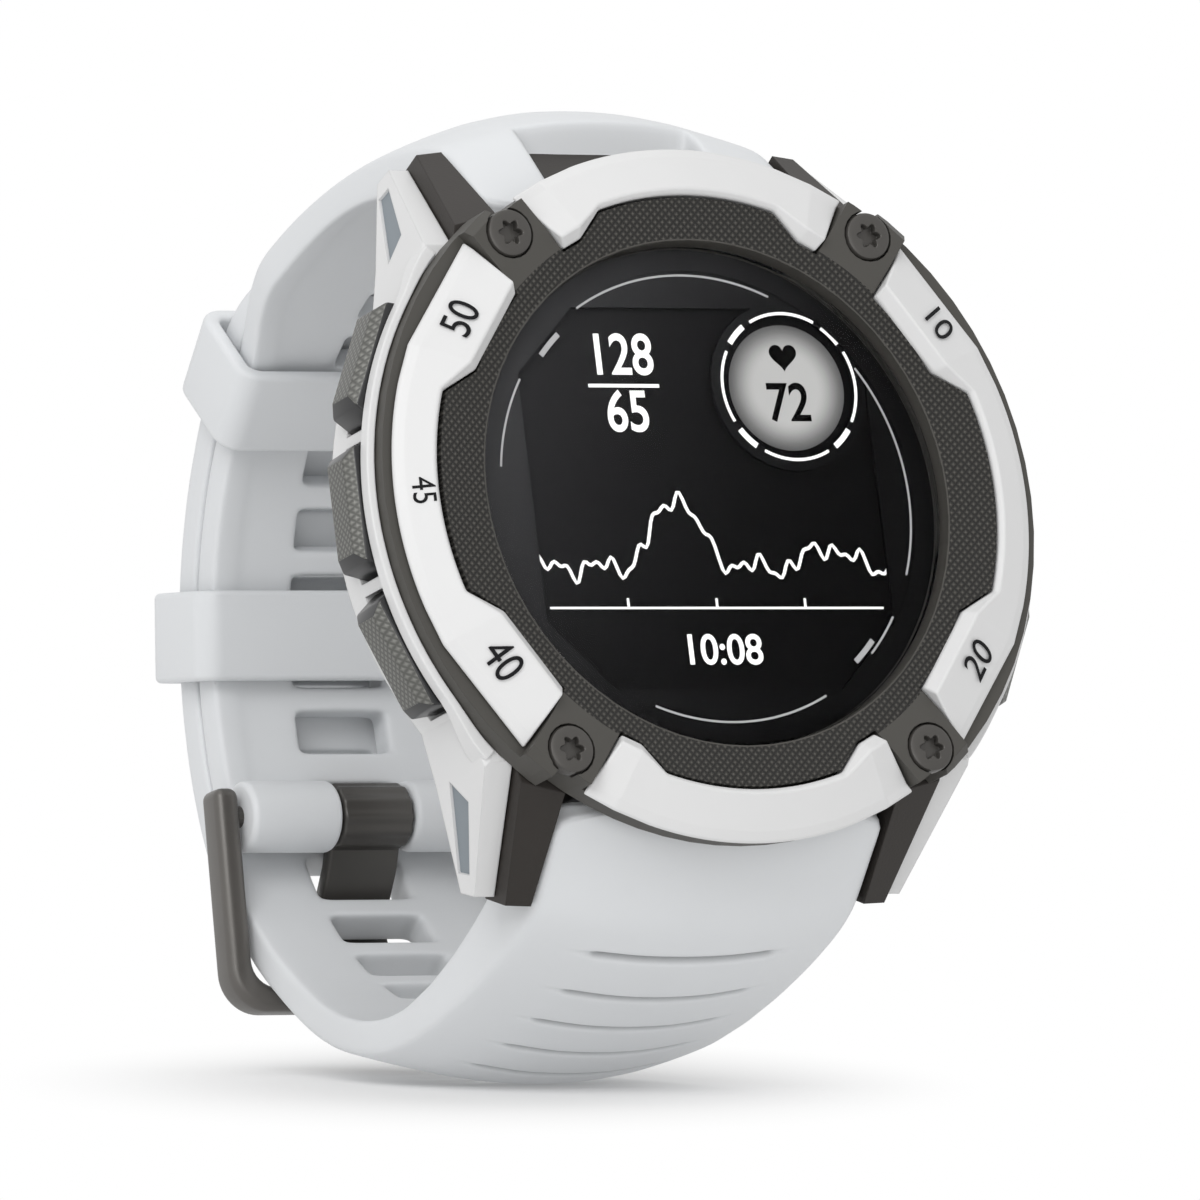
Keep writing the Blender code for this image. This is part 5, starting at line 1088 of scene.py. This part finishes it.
class GOLFWATCH_OT_keepers(bpy.types.Operator):
    """Two keeper loops round the strap"""

    bl_idname = "golf_watch.keepers"
    bl_label = "Keepers"

    def execute(self, context):
        low = LOOP_INNER - FIT - KEEPER_LENGTH ** 2 / (8 * LOOP_INNER) - KEEPER_WALL
        high = TAIL_OUTER + TAIL_CROWN + FIT + KEEPER_WALL
        half_depth = (high - low) / 2
        half_width = TAIL_HALF + 2 * FIT + KEEPER_WALL
        outer = rounded(half_width, half_depth, KEEPER_CORNER, 8)
        inner = rounded(half_width - KEEPER_WALL, half_depth - KEEPER_WALL, KEEPER_BORE_CORNER, 8)
        lift = KEEPER_LENGTH / 2
        for name, angle in KEEPERS.items():
            bm = bmesh.new()
            loops = [[(x, y, -lift) for x, y in outer], [(x, y, lift) for x, y in outer],
                     [(x, y, lift) for x, y in inner], [(x, y, -lift) for x, y in inner]]
            rows = sweep(bm, loops)
            bmesh.ops.bridge_loops(bm, edges=loop_edges(bm, rows[0]) + loop_edges(bm, rows[-1]))
            bevel(bm, [e for row in rows for e in loop_edges(bm, row)], KEEPER_ROUND, 4)
            upright = Matrix(((1, 0, 0, 0), (0, 0, 1, 0), (0, -1, 0, -(low + high) / 2), (0, 0, 0, 1)))
            seat = Matrix.Translation((0, LOOP_Y, LOOP_Z)) @ Matrix.Rotation(angle, 4, "X") @ upright
            bmesh.ops.transform(bm, matrix=seat, verts=bm.verts)
            add_piece(name.replace("keeper_", "strap_keeper_"), bm, "silicone", name,
                      (name,), 60.0)
        return {"FINISHED"}


class GOLFWATCH_OT_buckle(bpy.types.Operator):
    """Buckle frame and tongue on their bar"""

    bl_idname = "golf_watch.buckle"
    bl_label = "Buckle"

    def execute(self, context):
        hinge = loop_point(BUCKLE_RADIUS, BUCKLE_ANGLE)
        pivot = Vector((0, hinge.x, hinge.y))
        down = Vector((0, -math.cos(BUCKLE_ANGLE), -math.sin(BUCKLE_ANGLE)))
        outward = Vector((0, math.sin(BUCKLE_ANGLE), -math.cos(BUCKLE_ANGLE)))
        tilt = FRAME_CANT
        reach = down * math.cos(tilt) + outward * math.sin(tilt)
        arm_in = TAIL_HALF + 2 * FIT
        arm_out = arm_in + FRAME_ARM + 0.1 * MM
        far = FRAME_REACH + FRAME_ARM / 2
        near = -2.0 * MM
        corner = 3.0 * MM
        small = corner - FRAME_ARM * 0.6
        inside = far - FRAME_ARM
        outline = [(-arm_out, near), (-arm_in, near)]
        outline += arc(small, math.pi, math.pi / 2, 8, (small - arm_in, inside - small))
        outline += arc(small, math.pi / 2, 0, 8, (arm_in - small, inside - small))
        outline += [(arm_in, near), (arm_out, near)]
        outline += arc(corner, 0, math.pi / 2, 12, (arm_out - corner, far - corner))
        outline += arc(corner, math.pi / 2, math.pi, 12, (corner - arm_out, far - corner))
        bm = bmesh.new()
        solid(bm, outline, -FRAME_THICK / 2, FRAME_THICK / 2 + 0.3 * MM, frame_at(pivot, (1, 0, 0), reach))
        bevel(bm, sharp_edges(bm), 0.72 * MM, 5)
        add_piece("buckle_loop", bm, "buckle_steel_painted_light", "buckle_frame", ("buckle_frame",), 40.0)

        rise = math.sin(tilt)
        level = FRAME_REACH * rise + FRAME_THICK / 2 * math.cos(tilt) + FRAME_ARM / 2 * rise
        level += FIT + TONGUE_THICK / 2
        spin = BUCKLE_ANGLE - TONGUE_SLOT_ANGLE
        middle = lower_inner(TONGUE_SLOT_ANGLE) + LOWER_THICK / 2
        through = Vector((middle * math.sin(spin), middle * math.cos(spin) - BUCKLE_RADIUS))
        lean = spin + TONGUE_LEAN
        half_pass = Vector((math.sin(lean), math.cos(lean))) * LOWER_THICK * 0.73
        bend = through + half_pass
        path = [Vector((0.0, 0.0)), through - half_pass, bend, Vector((bend.x + 1.6 * MM, level - 0.15 * MM)),
                Vector((bend.x + 3.6 * MM, level)), Vector((FRAME_REACH * math.cos(tilt) + 1.4 * MM, level))]
        upper_side = []
        lower_side = []
        for k, point in enumerate(path):
            run = (path[min(len(path) - 1, k + 1)] - path[max(0, k - 1)]).normalized()
            normal = Vector((-run.y, run.x)) * TONGUE_THICK / 2
            upper_side.append(tuple(point + normal))
            lower_side.append(tuple(point - normal))
        side_view = Matrix(((0, 0, 1, 0), (down.y, outward.y, 0, pivot.y), (down.z, outward.z, 0, pivot.z),
                            (0, 0, 0, 1)))
        bm = bmesh.new()
        half = TONGUE_WIDTH / 2
        solid(bm, upper_side + lower_side[::-1], -half, half, side_view)
        bevel(bm, sharp_edges(bm), 0.22 * MM, 3)
        eye = []
        for k in range(120):
            turn = 2 * math.pi * k / 120
            radius = (KNUCKLE_RADIUS - FIT) * (0.975 + 0.025 * math.cos(12 * turn))
            eye.append((radius * math.cos(turn), radius * math.sin(turn)))
        ring = solid(bm, eye, -half, half, side_view)
        bevel(bm, end_rims(ring), 0.3 * MM, 3)
        add_piece("buckle_pin", bm, "dark_steel", "buckle_tongue", ("buckle_tongue",), 40.0)
        return {"FINISHED"}


def cap_spot(station, radius):
    """Plan point of a cap station at a radius; an end station runs along its screw pad."""
    kind, angle, sign = station
    if kind == "turn":
        return radius * math.cos(angle), radius * math.sin(angle)
    along = Vector((math.cos(angle), math.sin(angle)))
    across = Vector((-along.y, along.x)) * -sign * PAD_HALF
    spot = along * math.sqrt(radius * radius - PAD_HALF * PAD_HALF) + across
    return spot.x, spot.y


def cap_height(radius, fall):
    """Height of a cap's falling top."""
    return CAP_TOP - fall * max(0.0, radius - CAP_NARROW - 0.6 * MM)


class GOLFWATCH_OT_bezel_caps(bpy.types.Operator):
    """Four white caps with bevelled inner edges and falling tops"""

    bl_idname = "golf_watch.bezel_caps"
    bl_label = "Bezel caps"

    def execute(self, context):
        sizes = context.scene.golf_watch_sizes
        caps = {"right": (0.0, CAP_WIDE_SIDE), "top": (math.pi / 2, CAP_WIDE_END),
                "left": (math.pi, CAP_WIDE_SIDE), "bottom": (1.5 * math.pi, CAP_WIDE_END)}
        for name, (centre, wide) in caps.items():
            half = SCREW_ANGLE if abs(math.sin(centre)) < 0.5 else math.pi / 2 - SCREW_ANGLE
            stations = [(("pad", centre - half, -1), CAP_NARROW, 1.0)]
            stations.append((("turn", centre - CAP_JOG_OUTER, 0), CAP_NARROW, 1.0))
            for k in range(31):
                share = -1 + 2 * k / 30
                stations.append((("turn", centre + CAP_JOG_INNER * share, 0), wide, 0.45))
            stations.append((("turn", centre + CAP_JOG_OUTER, 0), CAP_NARROW, 1.0))
            stations.append((("pad", centre + half, 1), CAP_NARROW, 1.0))
            loops = []
            for station, inner, bevel in stations:
                width = sizes.cap_bevel * bevel
                drop = sizes.cap_drop if station[0] == "pad" and wide == CAP_WIDE_END else 0.0
                crest = cap_height(inner + width, sizes.cap_fall) - drop * 0.5
                edge = BEZEL_RADIUS - 0.7 * MM
                outline = [(inner, SKIRT_TOP + SEAT), (inner, crest - width), (inner + width, crest),
                           (edge, cap_height(edge, sizes.cap_fall) - drop),
                           (BEZEL_RADIUS, SKIRT_TOP + 0.4 * MM), (BEZEL_RADIUS, SKIRT_TOP + SEAT)]
                loops.append([(*cap_spot(station, r), z) for r, z in outline])
            piece = add_piece("cap_" + name, closed_skin(loops), "white_polymer", "watch",
                              ("bezel_cap_" + name,), 5.0)
            round_edges(piece, sizes.edge_round, 3, 12.0)
        return {"FINISHED"}


class GOLFWATCH_OT_guard_trim(bpy.types.Operator):
    """White lips over the buttons, and plates of painted shade in the wing pockets"""

    bl_idname = "golf_watch.guard_trim"
    bl_label = "Guard trim"

    def execute(self, context):
        sizes = context.scene.golf_watch_sizes
        inner = BEZEL_RADIUS + LIP_GAP
        for name, middle in (("left", math.pi), ("right", 0.0)):
            loops = []
            for k in range(LIP_STEPS + 1):
                turn = (2 * k / LIP_STEPS - 1) * LIP_END
                past = ramp((abs(turn) - LIP_FLARE) / (LIP_END - LIP_FLARE))
                outer = inner + sizes.lip_width + 0.35 * MM * past
                top = CASE_TOP + 0.85 * MM - 0.6 * MM * past
                foot = BUTTON_Z + BUTTON_HEIGHT / 2 + 0.1 * MM - 1.5 * MM * past
                outline = [(inner - 0.5 * MM, foot), (inner - 0.5 * MM, CASE_TOP + 0.04 * MM),
                           (inner, CASE_TOP + 0.06 * MM), (inner, top), (outer, top - 0.12 * MM),
                           (outer, foot)]
                angle = middle + turn
                loops.append([(r * math.cos(angle), r * math.sin(angle), z) for r, z in outline])
            piece = add_piece("guard_lip_" + name, closed_skin(loops), "white_polymer", "watch")
            round_edges(piece, sizes.edge_round, 2, 30.0)
        bm = bmesh.new()
        along = Vector((WING_TIP[0] - WING_ROOT[0], WING_TIP[1] - WING_ROOT[1]))
        span = along.length
        low = GUARD_BOTTOM
        # Plates of painted shade, filling each wing pocket from its floor to 0.2 mm below the wing face.
        floor = [(0.05 * MM, low + 0.8 * MM), (span * 0.22, low + 2.2 * MM), (span * 0.76, low - 1.4 * MM),
                 (span * 0.70, GUARD_FOOT + 1.1 * MM)]
        for sx, sy in CORNERS.values():
            root = (sx * WING_ROOT[0], sy * WING_ROOT[1], 0)
            seat = frame_at(root, (sx * along.x, sy * along.y, 0), (0, 0, 1))
            deep = -POCKET_DEPTH if sx * sy > 0 else POCKET_DEPTH
            inward = 1 if deep < 0 else -1
            solid(bm, floor, deep, deep + inward * (POCKET_DEPTH - 0.2 * MM), seat)
        add_piece("pocket_shade_plates", bm, "pocket_shade", "watch")
        return {"FINISHED"}


class GOLFWATCH_OT_bezel_screws(bpy.types.Operator):
    """Four six-lobe bezel screws"""

    bl_idname = "golf_watch.bezel_screws"
    bl_label = "Bezel screws"

    def execute(self, context):
        head = SCREW_HEAD
        top = PAD_Z + 0.2 * MM
        count = 96
        for name, (sx, sy) in CORNERS.items():
            loops = []
            levels = ((head, 0, -1.0 * MM), (head, 0, -0.26 * MM), (head - 0.07 * MM, 0, -0.1 * MM),
                      (head - 0.26 * MM, 0, 0.0), (head * 0.6, 1, 0.0), (head * 0.55, 1, -0.06 * MM),
                      (head * 0.53, 1, -0.6 * MM))
            for radius, lobed, drop in levels:
                loop = []
                for k in range(count):
                    turn = 2 * math.pi * k / count
                    reach = radius * (1 + lobed * SCREW_LOBE * (math.cos(6 * turn) - 1))
                    loop.append((sx * SCREW_X + reach * math.cos(turn), sy * SCREW_Y + reach * math.sin(turn),
                                 top + drop))
                loops.append(loop)
            add_piece("screw_" + name, closed_skin(loops), "dark_steel", "watch",
                      ("bezel_screw_" + name,), 35.0)
        return {"FINISHED"}


class GOLFWATCH_OT_buttons(bpy.types.Operator):
    """Five hatched buttons with chamfered faces"""

    bl_idname = "golf_watch.buttons"
    bl_label = "Buttons"

    def execute(self, context):
        for name, angle in BUTTONS.items():
            bm = bmesh.new()
            bmesh.ops.create_cube(bm, size=1.0)
            depth = BUTTON_FACE - BUTTON_BACK
            bmesh.ops.scale(bm, vec=(depth, BUTTON_LENGTH, BUTTON_HEIGHT), verts=bm.verts)
            bmesh.ops.translate(bm, vec=(-depth / 2, 0, 0), verts=bm.verts)
            front = [v for v in bm.verts if v.co.x > -SEAT]
            for vert in front:
                vert.co.y -= math.copysign(BUTTON_RAKE, vert.co.y)
            rim = [e for e in bm.edges if all(v in front for v in e.verts)]
            bevel(bm, rim, BUTTON_CHAMFER, 1)
            bevel(bm, bm.edges, 0.12 * MM, 3)
            bm.normal_update()
            for face in bm.faces:
                if abs(face.normal.y) > 0.5 or abs(face.normal.z) > 0.85:
                    face.material_index = 1
            seat = Matrix.Rotation(angle, 4, "Z") @ Matrix.Translation((BUTTON_FACE, 0, BUTTON_Z))
            bmesh.ops.transform(bm, matrix=seat, verts=bm.verts)
            piece = add_piece(name.replace("button", "push"), bm, "button_hatch", name,
                              (name,))
            piece.data.materials.append(finish("button_end"))
        return {"FINISHED"}


def flat_ring(bm, inner, outer, z, start, end, count, centre=(0.0, 0.0)):
    """Thin flat band along an arc, with a little thickness."""
    outline = arc(outer, start, end, count, centre) + arc(inner, end, start, count, centre)
    solid(bm, outline, z, z + 0.02 * MM)


class GOLFWATCH_OT_lens(bpy.types.Operator):
    """Clear lens with the dark border printed under its edge"""

    bl_idname = "golf_watch.lens"
    bl_label = "Lens"

    def execute(self, context):
        bm = bmesh.new()
        profile = [(0, LENS_TOP), (LENS_RADIUS - 0.35 * MM, LENS_TOP),
                   (LENS_RADIUS - 0.1 * MM, LENS_TOP - 0.1 * MM), (LENS_RADIUS, LENS_TOP - 0.35 * MM),
                   (LENS_RADIUS, LENS_BOTTOM), (0, LENS_BOTTOM)]
        verts = [bm.verts.new((r, 0, z)) for r, z in profile]
        edges = [bm.edges.new(pair) for pair in zip(verts, verts[1:])]
        bmesh.ops.spin(bm, geom=verts + edges, cent=(0, 0, 0), axis=(0, 0, 1), angle=2 * math.pi, steps=128,
                       use_merge=True, use_duplicate=False)
        add_piece("clear_lens", bm, "lens_clear", "watch", ("lens",), 20.0)
        bm = bmesh.new()
        edge = LENS_RADIUS - 0.1 * MM
        z = LENS_BOTTOM - 0.06 * MM
        loops = [arc(r, 0, 2 * math.pi * 127 / 128, 127) for r in (16.4 * MM, edge, edge, 16.4 * MM)]
        heights = (z, z, z + 0.03 * MM, z + 0.03 * MM)
        rows = sweep(bm, [[(x, y, h) for x, y in loop] for loop, h in zip(loops, heights)])
        bmesh.ops.bridge_loops(bm, edges=loop_edges(bm, rows[0]) + loop_edges(bm, rows[-1]))
        # The border's dark print carries the painted sheen toward the upper left.
        add_piece("lens_border", bm, "mask_print_painted_sheen", "watch")
        return {"FINISHED"}


def add_curve(bm, curve, place):
    """Mesh of a curve, put in its place and added to a bmesh; the curve goes."""
    holder = bpy.data.objects.new(curve.name, curve)
    bpy.context.scene.collection.objects.link(holder)
    graph = bpy.context.evaluated_depsgraph_get()
    mesh = bpy.data.meshes.new_from_object(holder.evaluated_get(graph))
    bpy.data.objects.remove(holder)
    bpy.data.curves.remove(curve)
    mesh.transform(place)
    bm.from_mesh(mesh)
    bpy.data.meshes.remove(mesh)


def words(bm, text, height, spot, squeeze=0.72, turn=0.0, tilt=None, bold=0.014):
    """Flat figures from a text curve, centred on a spot and added to a bmesh."""
    curve = bpy.data.curves.new("figures", "FONT")
    curve.body = text
    curve.align_x = "CENTER"
    curve.align_y = "CENTER"
    curve.size = 1.0
    curve.extrude = 0.004
    curve.offset = bold
    size = height / CAPITAL_HEIGHT
    place = Matrix.Translation(spot) @ Matrix.Rotation(turn, 4, "Z")
    if tilt is not None:
        place = place @ Matrix.Rotation(tilt, 4, "X")
    add_curve(bm, curve, place @ Matrix.Diagonal((size * squeeze, size, size, 1.0)))


def line(bm, points, width, z):
    """Thin line through plan points, as a flattened wire."""
    curve = bpy.data.curves.new("line", "CURVE")
    curve.dimensions = "3D"
    curve.bevel_depth = width / 2
    curve.bevel_resolution = 1
    curve.use_fill_caps = True
    spline = curve.splines.new("POLY")
    spline.points.add(len(points) - 1)
    for point, (x, y) in zip(spline.points, points):
        point.co = (x, y, 0.0, 1.0)
    add_curve(bm, curve, Matrix.Translation((0, 0, z)) @ Matrix.Diagonal((1, 1, LINE_FLATNESS, 1)))


class GOLFWATCH_OT_screen(bpy.types.Operator):
    """Figures, line graph and second dial on the screen, and thin lines under the lens"""

    bl_idname = "golf_watch.screen"
    bl_label = "Screen"

    def execute(self, context):
        tall = context.scene.golf_watch_sizes.digit_height
        level = PANEL_TOP + 0.03 * MM
        bm = bmesh.new()
        words(bm, "128", tall, (-5.3 * MM, 10.3 * MM, level), 0.84)
        words(bm, "65", tall, (-5.2 * MM, 6.2 * MM, level), 0.84)
        line(bm, [(-8.1 * MM, 8.2 * MM), (-2.5 * MM, 8.2 * MM)], 0.26 * MM, level)
        line(bm, [(-13.2 * MM, -7.8 * MM), (13.2 * MM, -7.8 * MM)], 0.17 * MM, level)
        for x in (-7.0 * MM, 0.0, 7.0 * MM):
            line(bm, [(x, -7.8 * MM), (x, -7.1 * MM)], 0.2 * MM, level)
        graph = []
        for k in range(GRAPH_STEPS + 1):
            share = k / GRAPH_STEPS
            swell = 5.2 * math.exp(-((share - 0.41) / 0.085) ** 2)
            swell += 1.6 * math.exp(-((share - 0.83) / 0.07) ** 2)
            ripple = 0.45 * math.sin(43 * share) + 0.40 * math.sin(89 * share + 1.0)
            ripple += 0.3 * math.sin(151 * share)
            graph.append(((-14.0 + 28.0 * share) * MM, (-4.9 + swell + ripple) * MM))
        line(bm, graph, 0.26 * MM, level)
        words(bm, "10:08", 2.2 * MM, (0.0, -10.9 * MM, level), 0.95)
        # The screen figures glow by emission as painted light.
        add_piece("screen_figures", bm, "screen_painted_glow", "watch")

        spot = (SUBDIAL_X, SUBDIAL_Y)
        bm = bmesh.new()
        solid(bm, arc(4.55 * MM, 0, 2 * math.pi * 63 / 64, 63, spot), level, level + 0.02 * MM)
        # The second dial's face glows by emission as painted light.
        add_piece("subdial_face", bm, "subdial_painted_glow", "watch")
        bm = bmesh.new()
        ink = level + 0.05 * MM
        words(bm, "72", 2.8 * MM, (spot[0], spot[1] - 1.2 * MM, ink), 0.9)
        heart = []
        for k in range(48):
            turn = 2 * math.pi * k / 48
            x = 16 * math.sin(turn) ** 3
            y = 13 * math.cos(turn) - 5 * math.cos(2 * turn) - 2 * math.cos(3 * turn) - math.cos(4 * turn)
            heart.append((spot[0] + x * 0.068 * MM, spot[1] + 2.3 * MM + y * 0.068 * MM))
        solid(bm, heart, ink, ink + 0.01 * MM)
        add_piece("subdial_figures", bm, "screen_ink", "watch")
        bm = bmesh.new()
        rim = MASK_TOP + 0.03 * MM
        for k in range(4):
            middle = k * math.pi / 2
            flat_ring(bm, 5.18 * MM, 5.40 * MM, rim, middle - 0.50, middle + 0.50, 16, spot)
            middle += math.pi / 4
            flat_ring(bm, 5.10 * MM, 5.52 * MM, rim, middle - 0.16, middle + 0.16, 8, spot)
        # The second dial's ring glows by emission as painted light.
        add_piece("subdial_ring", bm, "screen_painted_glow", "watch")

        bm = bmesh.new()
        for start, end in ((65, 122), (-20, 36), (-44, -32), (-112, -62), (148, 172)):
            line(bm, arc(16.1 * MM, start * DEG, end * DEG, 24), 0.16 * MM, rim)
        for turn in (135, -45):
            flat_ring(bm, 15.4 * MM, 15.8 * MM, rim, (turn - 4) * DEG, (turn + 4) * DEG, 8)
        # The lines under the lens glow by emission as painted light.
        add_piece("lens_lines", bm, "lens_print_painted_glow", "watch")
        return {"FINISHED"}


class GOLFWATCH_OT_cap_numbers(bpy.types.Operator):
    """Plain minute numbers on the side caps"""

    bl_idname = "golf_watch.cap_numbers"
    bl_label = "Cap numbers"

    def execute(self, context):
        fall = context.scene.golf_watch_sizes.cap_fall
        bm = bmesh.new()
        tilt = math.atan(fall)
        for text, turn, radius, height, side in (
                ("50", 147, 22.5, 2.3, -1), ("45", 180, 23.3, 1.7, 1), ("40", 213, 22.5, 2.3, 1),
                ("10", 33, 22.5, 2.3, -1), ("20", -33, 22.5, 2.3, 1)):
            angle = turn * DEG
            spot = (radius * MM * math.cos(angle), radius * MM * math.sin(angle),
                    cap_height(radius * MM, fall) + 0.03 * MM)
            words(bm, text, height * MM, spot, 0.85, angle + side * math.pi / 2, side * tilt, 0.0)
        add_piece("cap_figures", bm, "cap_ink", "watch")
        return {"FINISHED"}


class GOLFWATCH_OT_finishes(bpy.types.Operator):
    """Finishes on the solids that stay in view"""

    bl_idname = "golf_watch.finishes"
    bl_label = "Finishes"

    def execute(self, context):
        surface_of = {node: name for name, nodes in SLOT_OF.items() for node in nodes}
        for node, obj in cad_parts.items():
            if obj.hide_render:
                continue
            surface = surface_of.get(node)
            for prefix, name in PREFIX_FINISH.items():
                if node.startswith(prefix):
                    surface = name
            if surface is None:
                raise RuntimeError("no finish for " + node)
            obj.data.materials.clear()
            obj.data.materials.append(finish(surface))
        return {"FINISHED"}


class GOLFWATCH_OT_stage(bpy.types.Operator):
    """Pale floor, soft lights and the camera"""

    bl_idname = "golf_watch.stage"
    bl_label = "Stage"

    def execute(self, context):
        scene = context.scene
        bm = bmesh.new()
        bmesh.ops.create_grid(bm, x_segments=2, y_segments=2, size=40.0)
        mesh = bpy.data.meshes.new("studio_floor")
        bm.to_mesh(mesh)
        bm.free()
        floor = bpy.data.objects.new("studio_floor", mesh)
        scene.collection.objects.link(floor)
        mesh.materials.append(self.floor_material())

        middle = DIAL @ Vector((0, 0, 0))
        power = scene.golf_watch_sizes.key_power
        for name, (place, size, share) in LIGHTS.items():
            lamp = bpy.data.lights.new(name, "AREA")
            lamp.energy = power * share
            lamp.size = size
            holder = bpy.data.objects.new(name, lamp)
            holder.location = middle + Vector(place)
            holder.rotation_euler = Vector(place).to_track_quat("Z", "Y").to_euler()
            scene.collection.objects.link(holder)

        scene.world = self.sky()
        camera = bpy.data.cameras.new("photo_camera")
        camera.lens = VIEW_LENS
        camera.sensor_width = 36.0
        camera.clip_end = 100.0
        holder = bpy.data.objects.new("photo_camera", camera)
        spot = DIAL @ Vector((0, 0, RING_TOP))
        spot += VIEW_RIGHT * (VIEW_SHIFT[0] / VIEW_PIXELS) + VIEW_UP * (VIEW_SHIFT[1] / VIEW_PIXELS)
        turn = Matrix((VIEW_RIGHT, VIEW_UP, VIEW_BACK)).transposed().to_4x4()
        holder.matrix_world = Matrix.Translation(spot + VIEW_BACK * VIEW_DISTANCE) @ turn
        scene.collection.objects.link(holder)
        scene.camera = holder
        scene.view_settings.view_transform = "Standard"
        return {"FINISHED"}

    def seen_rays(self, tree):
        """1 for camera, glossy and transmission rays, else 0."""
        path = tree.nodes.new("ShaderNodeLightPath")
        seen = math_node(tree, "MAXIMUM", path.outputs["Is Camera Ray"], path.outputs["Is Glossy Ray"])
        return math_node(tree, "MAXIMUM", seen, path.outputs["Is Transmission Ray"])

    def floor_material(self):
        """Pale floor that keeps the watch's shadow."""
        material = bpy.data.materials.new("studio_floor")
        material.use_nodes = True
        tree = material.node_tree
        shader = tree.nodes["Principled BSDF"]
        shader.inputs["Base Color"].default_value = (0.86, 0.86, 0.86, 1.0)
        shader.inputs["Roughness"].default_value = 0.9
        shader.inputs["Specular IOR Level"].default_value = 0.0
        glow = tree.nodes.new("ShaderNodeEmission")
        glow.inputs["Color"].default_value = (1.0, 1.0, 1.0, 1.0)
        mix = tree.nodes.new("ShaderNodeMixShader")
        coords = tree.nodes.new("ShaderNodeTexCoord")
        turned = tree.nodes.new("ShaderNodeMapping")
        turned.inputs["Location"].default_value = (0.002, 0.0, 0.0)
        turned.inputs["Rotation"].default_value = (0.0, 0.0, math.atan2(-VIEW_RIGHT.y, VIEW_RIGHT.x))
        tree.links.new(coords.outputs["Object"], turned.inputs["Vector"])
        spread = tree.nodes.new("ShaderNodeVectorMath")
        spread.operation = "DIVIDE"
        spread.inputs[1].default_value = SHADOW_REACH
        tree.links.new(turned.outputs["Vector"], spread.inputs[0])
        far = tree.nodes.new("ShaderNodeVectorMath")
        far.operation = "LENGTH"
        tree.links.new(spread.outputs["Vector"], far.inputs[0])
        fade = map_range(tree, far.outputs["Value"], (0.10, 0.08), (1.0, 1.0), "SMOOTHSTEP")
        seen = self.seen_rays(tree)
        shown = math_node(tree, "MULTIPLY", seen, fade)
        bounce = math_node(tree, "MULTIPLY", math_node(tree, "SUBTRACT", 1.0, seen), FLOOR_BOUNCE)
        tree.links.new(math_node(tree, "ADD", shown, bounce), mix.inputs[0])
        tree.links.new(shader.outputs[0], mix.inputs[1])
        tree.links.new(glow.outputs[0], mix.inputs[2])
        tree.links.new(mix.outputs[0], tree.nodes["Material Output"].inputs["Surface"])
        return material

    def sky(self):
        """White surround, dimmer as a light on the watch."""
        world = bpy.data.worlds.new("studio_surround")
        world.use_nodes = True
        tree = world.node_tree
        back = tree.nodes["Background"]
        back.inputs["Color"].default_value = (1.0, 1.0, 1.0, 1.0)
        strength = math_node(tree, "MULTIPLY_ADD", self.seen_rays(tree), 1.0 - AMBIENT, AMBIENT)
        tree.links.new(strength, back.inputs["Strength"])
        return world


class GOLFWATCH_PT_panel(bpy.types.Panel):
    """Pieces of the watch"""

    bl_idname = "GOLFWATCH_PT_panel"
    bl_label = "Golf GPS Watch"
    bl_space_type = "VIEW_3D"
    bl_region_type = "UI"
    bl_category = "Watch"

    def draw(self, context):
        column = self.layout.column()
        for kind in OPERATORS:
            column.operator(kind.bl_idname)
        for group in (context.scene.golf_watch_sizes, context.scene.golf_watch_colours):
            for name in group.__annotations__:
                column.prop(group, name)


OPERATORS = (
    GOLFWATCH_OT_strap_upper, GOLFWATCH_OT_strap_lower, GOLFWATCH_OT_keepers, GOLFWATCH_OT_buckle,
    GOLFWATCH_OT_bezel_caps, GOLFWATCH_OT_guard_trim, GOLFWATCH_OT_bezel_screws, GOLFWATCH_OT_buttons,
    GOLFWATCH_OT_lens, GOLFWATCH_OT_screen, GOLFWATCH_OT_cap_numbers, GOLFWATCH_OT_finishes,
    GOLFWATCH_OT_stage,
)
CLASSES = (GolfWatchSizes, GolfWatchColours, *OPERATORS, GOLFWATCH_PT_panel)


def register():
    """Register the settings, operators and panel."""
    for kind in CLASSES:
        bpy.utils.register_class(kind)
    bpy.types.Scene.golf_watch_sizes = PointerProperty(type=GolfWatchSizes)
    bpy.types.Scene.golf_watch_colours = PointerProperty(type=GolfWatchColours)


def unregister():
    """Undo register."""
    del bpy.types.Scene.golf_watch_colours
    del bpy.types.Scene.golf_watch_sizes
    for kind in reversed(CLASSES):
        bpy.utils.unregister_class(kind)


def main():
    """Build the watch and its stage."""
    register()
    for kind in OPERATORS:
        area, name = kind.bl_idname.split(".")
        getattr(getattr(bpy.ops, area), name)()


if __name__ == "__main__":
    main()
